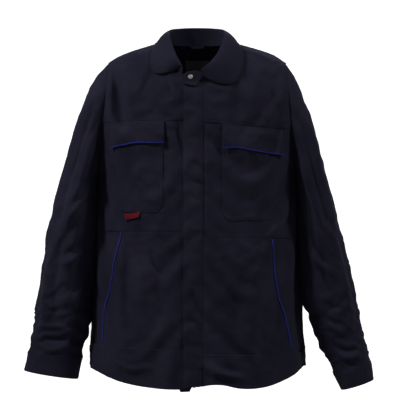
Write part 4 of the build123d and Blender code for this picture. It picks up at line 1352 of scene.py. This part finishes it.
def build_body_stitching():
    rows = front_rows(-1) + front_rows(1)
    for x, top, low in UPRIGHTS:
        lift = SKIRT_LIFT if top < -405 else BODY_LIFT
        rows.append(body_line([(abs(x), top), (abs(x), low)], lift, side=1 if x > 0 else -1))
    rows.append(body_line([(17, -96), (17, -168)], YOKE_LIFT, 30))
    for z, degrees, lift in ACROSS:
        reach = math.radians(degrees)
        angle = np.linspace(math.pi - reach, math.pi + reach, 160)
        rows.append(on_cloth(angle, z + 0 * angle, lift + 0 * angle))
    x = np.linspace(-236, 236, 160)
    for drop in (0, 5.0):
        z = back_hem_z(x) + 24 - drop
        rows.append(on_cloth(at_x(x, z, back=True), z, BAND_LIFT + 0 * z))
    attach(stitches("body_stitching", rows), "jacket")


def build_placket_stitching():
    def row(u, v):
        u, v = np.broadcast_arrays(u, v)
        line, outs = placket_surface(u, v, PLACKET_LIFT + placket_puff(u, v))
        return on_mesh(placket, line - outs * 2, outs)

    rows = [row(u, np.linspace(0.004, 0.996, 240)) for u in (0.93, 0.865, 0.055)]
    top, yoke, waist, band = placket_top(0), YOKE[1](0), WAIST[1](0), BAND[1](0)
    for z in (yoke + 1.6, yoke - 5, waist, waist - 6.5, band, band - 6.5):
        rows.append(row(np.linspace(0.03, 0.97, 20), (z - top) / (hem_z(0) - top)))
    fold_placket(stitches("placket_stitching", rows))


def build_sleeve_stitching(side, name):
    cuff_s, end_s = STEPS[side][CUFF_RIB], STEPS[side][-1]
    s = np.linspace(24, cuff_s - 3, 200)
    rib = RIB_AT[side](s)
    reach = (np.hypot(rib[..., 2] - rib[..., 0], rib[..., 3] - rib[..., 1]) / 2 + rib[..., 5]) / 2
    rows = []
    for inset in (2.2, 8.4):
        for way in (1, -1):
            rows.append(on_sleeve(side, way * (UNDER_ANGLE - inset / reach), s, SLEEVE_LIFT + 0 * s))
    turn = np.linspace(-UNDER_ANGLE, UNDER_ANGLE, 120)
    rows.append(on_sleeve(side, turn, 0 * turn + 4.5, SLEEVE_LIFT + 0 * turn))
    bend(stitches(f"sleeve_stitching_{name}", rows))
    turn = np.linspace(0, TAU, 180)
    downs = (cuff_s + 1.8, cuff_s + 8.2, end_s - 5)
    rows = [on_sleeve(side, turn, 0 * turn + down, CUFF_LIFT + 0 * turn) for down in downs]
    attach(stitches(f"cuff_stitching_{name}", rows), f"forearm_{name}")


build_body_stitching()
build_placket_stitching()
for side, name in SIDES.items():
    build_sleeve_stitching(side, name)

# ---------------------------------------------------------------- the CAD's own zip parts
for node_name in ("zip_slider", "zip_pull", "zip_bottom_box"):
    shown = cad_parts[node_name]
    if not shown.material_slots:
        shown.data.materials.append(BRASS)
    for slot in shown.material_slots:
        slot.material = BRASS

# ---------------------------------------------------------------- camera, lights and stage
camera_data = bpy.data.cameras.new("camera")
camera = bpy.data.objects.new("camera", camera_data)
bpy.context.scene.collection.objects.link(camera)
bpy.context.scene.camera = camera
AIM = Vector((0.0066, -0.10, -0.339))
CAMERA_AT = Vector((0.0066, -5.6, -0.20))
camera.location = CAMERA_AT
camera.rotation_euler = (AIM - CAMERA_AT).to_track_quat("-Z", "Y").to_euler()
VIEW_WIDTH = 0.88  # metres across the view at the jacket
camera_data.lens = camera_data.sensor_width * (AIM - CAMERA_AT).length / VIEW_WIDTH
camera_data.clip_end = 60


LIGHT_SPREAD = math.radians(70)


def area_light(name, place, size, power, aim=(0, 0, -0.35)):
    data = bpy.data.lights.new(name, "AREA")
    data.shape, data.size, data.energy, data.spread = "SQUARE", size, power, LIGHT_SPREAD
    light = bpy.data.objects.new(name, data)
    light.location = place
    light.rotation_euler = (Vector(aim) - Vector(place)).to_track_quat("-Z", "Y").to_euler()
    bpy.context.scene.collection.objects.link(light)


area_light("key", (-2.2, -1.05, 2.0), 0.35, 15)
area_light("fill", (2.4, -1.0, 2.0), 0.35, 9)
area_light("back", (0.7, 3.4, 2.4), 0.6, 9)

world = bpy.data.worlds.new("studio")
world.use_nodes = True
world.node_tree.nodes["Background"].inputs["Color"].default_value = (1, 1, 1, 1)
world.node_tree.nodes["Background"].inputs["Strength"].default_value = 0.02
bpy.context.scene.world = world
bpy.context.scene.view_settings.view_transform = "Standard"


STAGE_RADIUS, FLOOR_Z, WALL_TOP = 12.0, -2.2, 3.4
BACK_GLOW, FRONT_GLOW, FLOOR_GLOW = 0.85, 0.2, 0.06
GLOW_END = 0.75 * STAGE_RADIUS  # the wall's glow stops growing here
STAGE_FACETS = 64


def stage_piece(name, vertices, faces, glow):
    """A pale sheet of studio paper; glow is its light, or a pair: in front of and behind the jacket."""
    mesh = bpy.data.meshes.new(name)
    mesh.from_pydata(vertices, [], faces)
    pale, nodes, links, shader = material(f"{name}_paper", 0.95)
    shader.inputs["Base Color"].default_value = (0.80, 0.80, 0.80, 1)
    shader.inputs["Emission Color"].default_value = (1, 1, 1, 1)
    if isinstance(glow, tuple):
        place = node(nodes, "ShaderNodeNewGeometry")
        split = node(nodes, "ShaderNodeSeparateXYZ")
        links.new(place.outputs["Position"], split.inputs["Vector"])
        ramp = mapped(nodes, links, split.outputs["Y"], *glow, start=-STAGE_RADIUS, end=GLOW_END,
                      interpolation_type="SMOOTHSTEP")
        links.new(ramp, shader.inputs["Emission Strength"])
    else:
        shader.inputs["Emission Strength"].default_value = glow
    mesh.materials.append(pale)
    piece = bpy.data.objects.new(name, mesh)
    bpy.context.scene.collection.objects.link(piece)


def build_stage():
    """A pale round floor, and a softly lit wall that runs all round it."""
    def ring(z):
        angles = np.linspace(0, TAU, STAGE_FACETS, endpoint=False)
        return [(STAGE_RADIUS * math.cos(a), STAGE_RADIUS * math.sin(a), z) for a in angles]

    count = STAGE_FACETS
    stage_piece("floor", ring(FLOOR_Z), [list(range(count))], FLOOR_GLOW)
    faces = [(k, (k + 1) % count, count + (k + 1) % count, count + k) for k in range(count)]
    stage_piece("wall", ring(FLOOR_Z) + ring(WALL_TOP), faces, (FRONT_GLOW, BACK_GLOW))


build_stage()
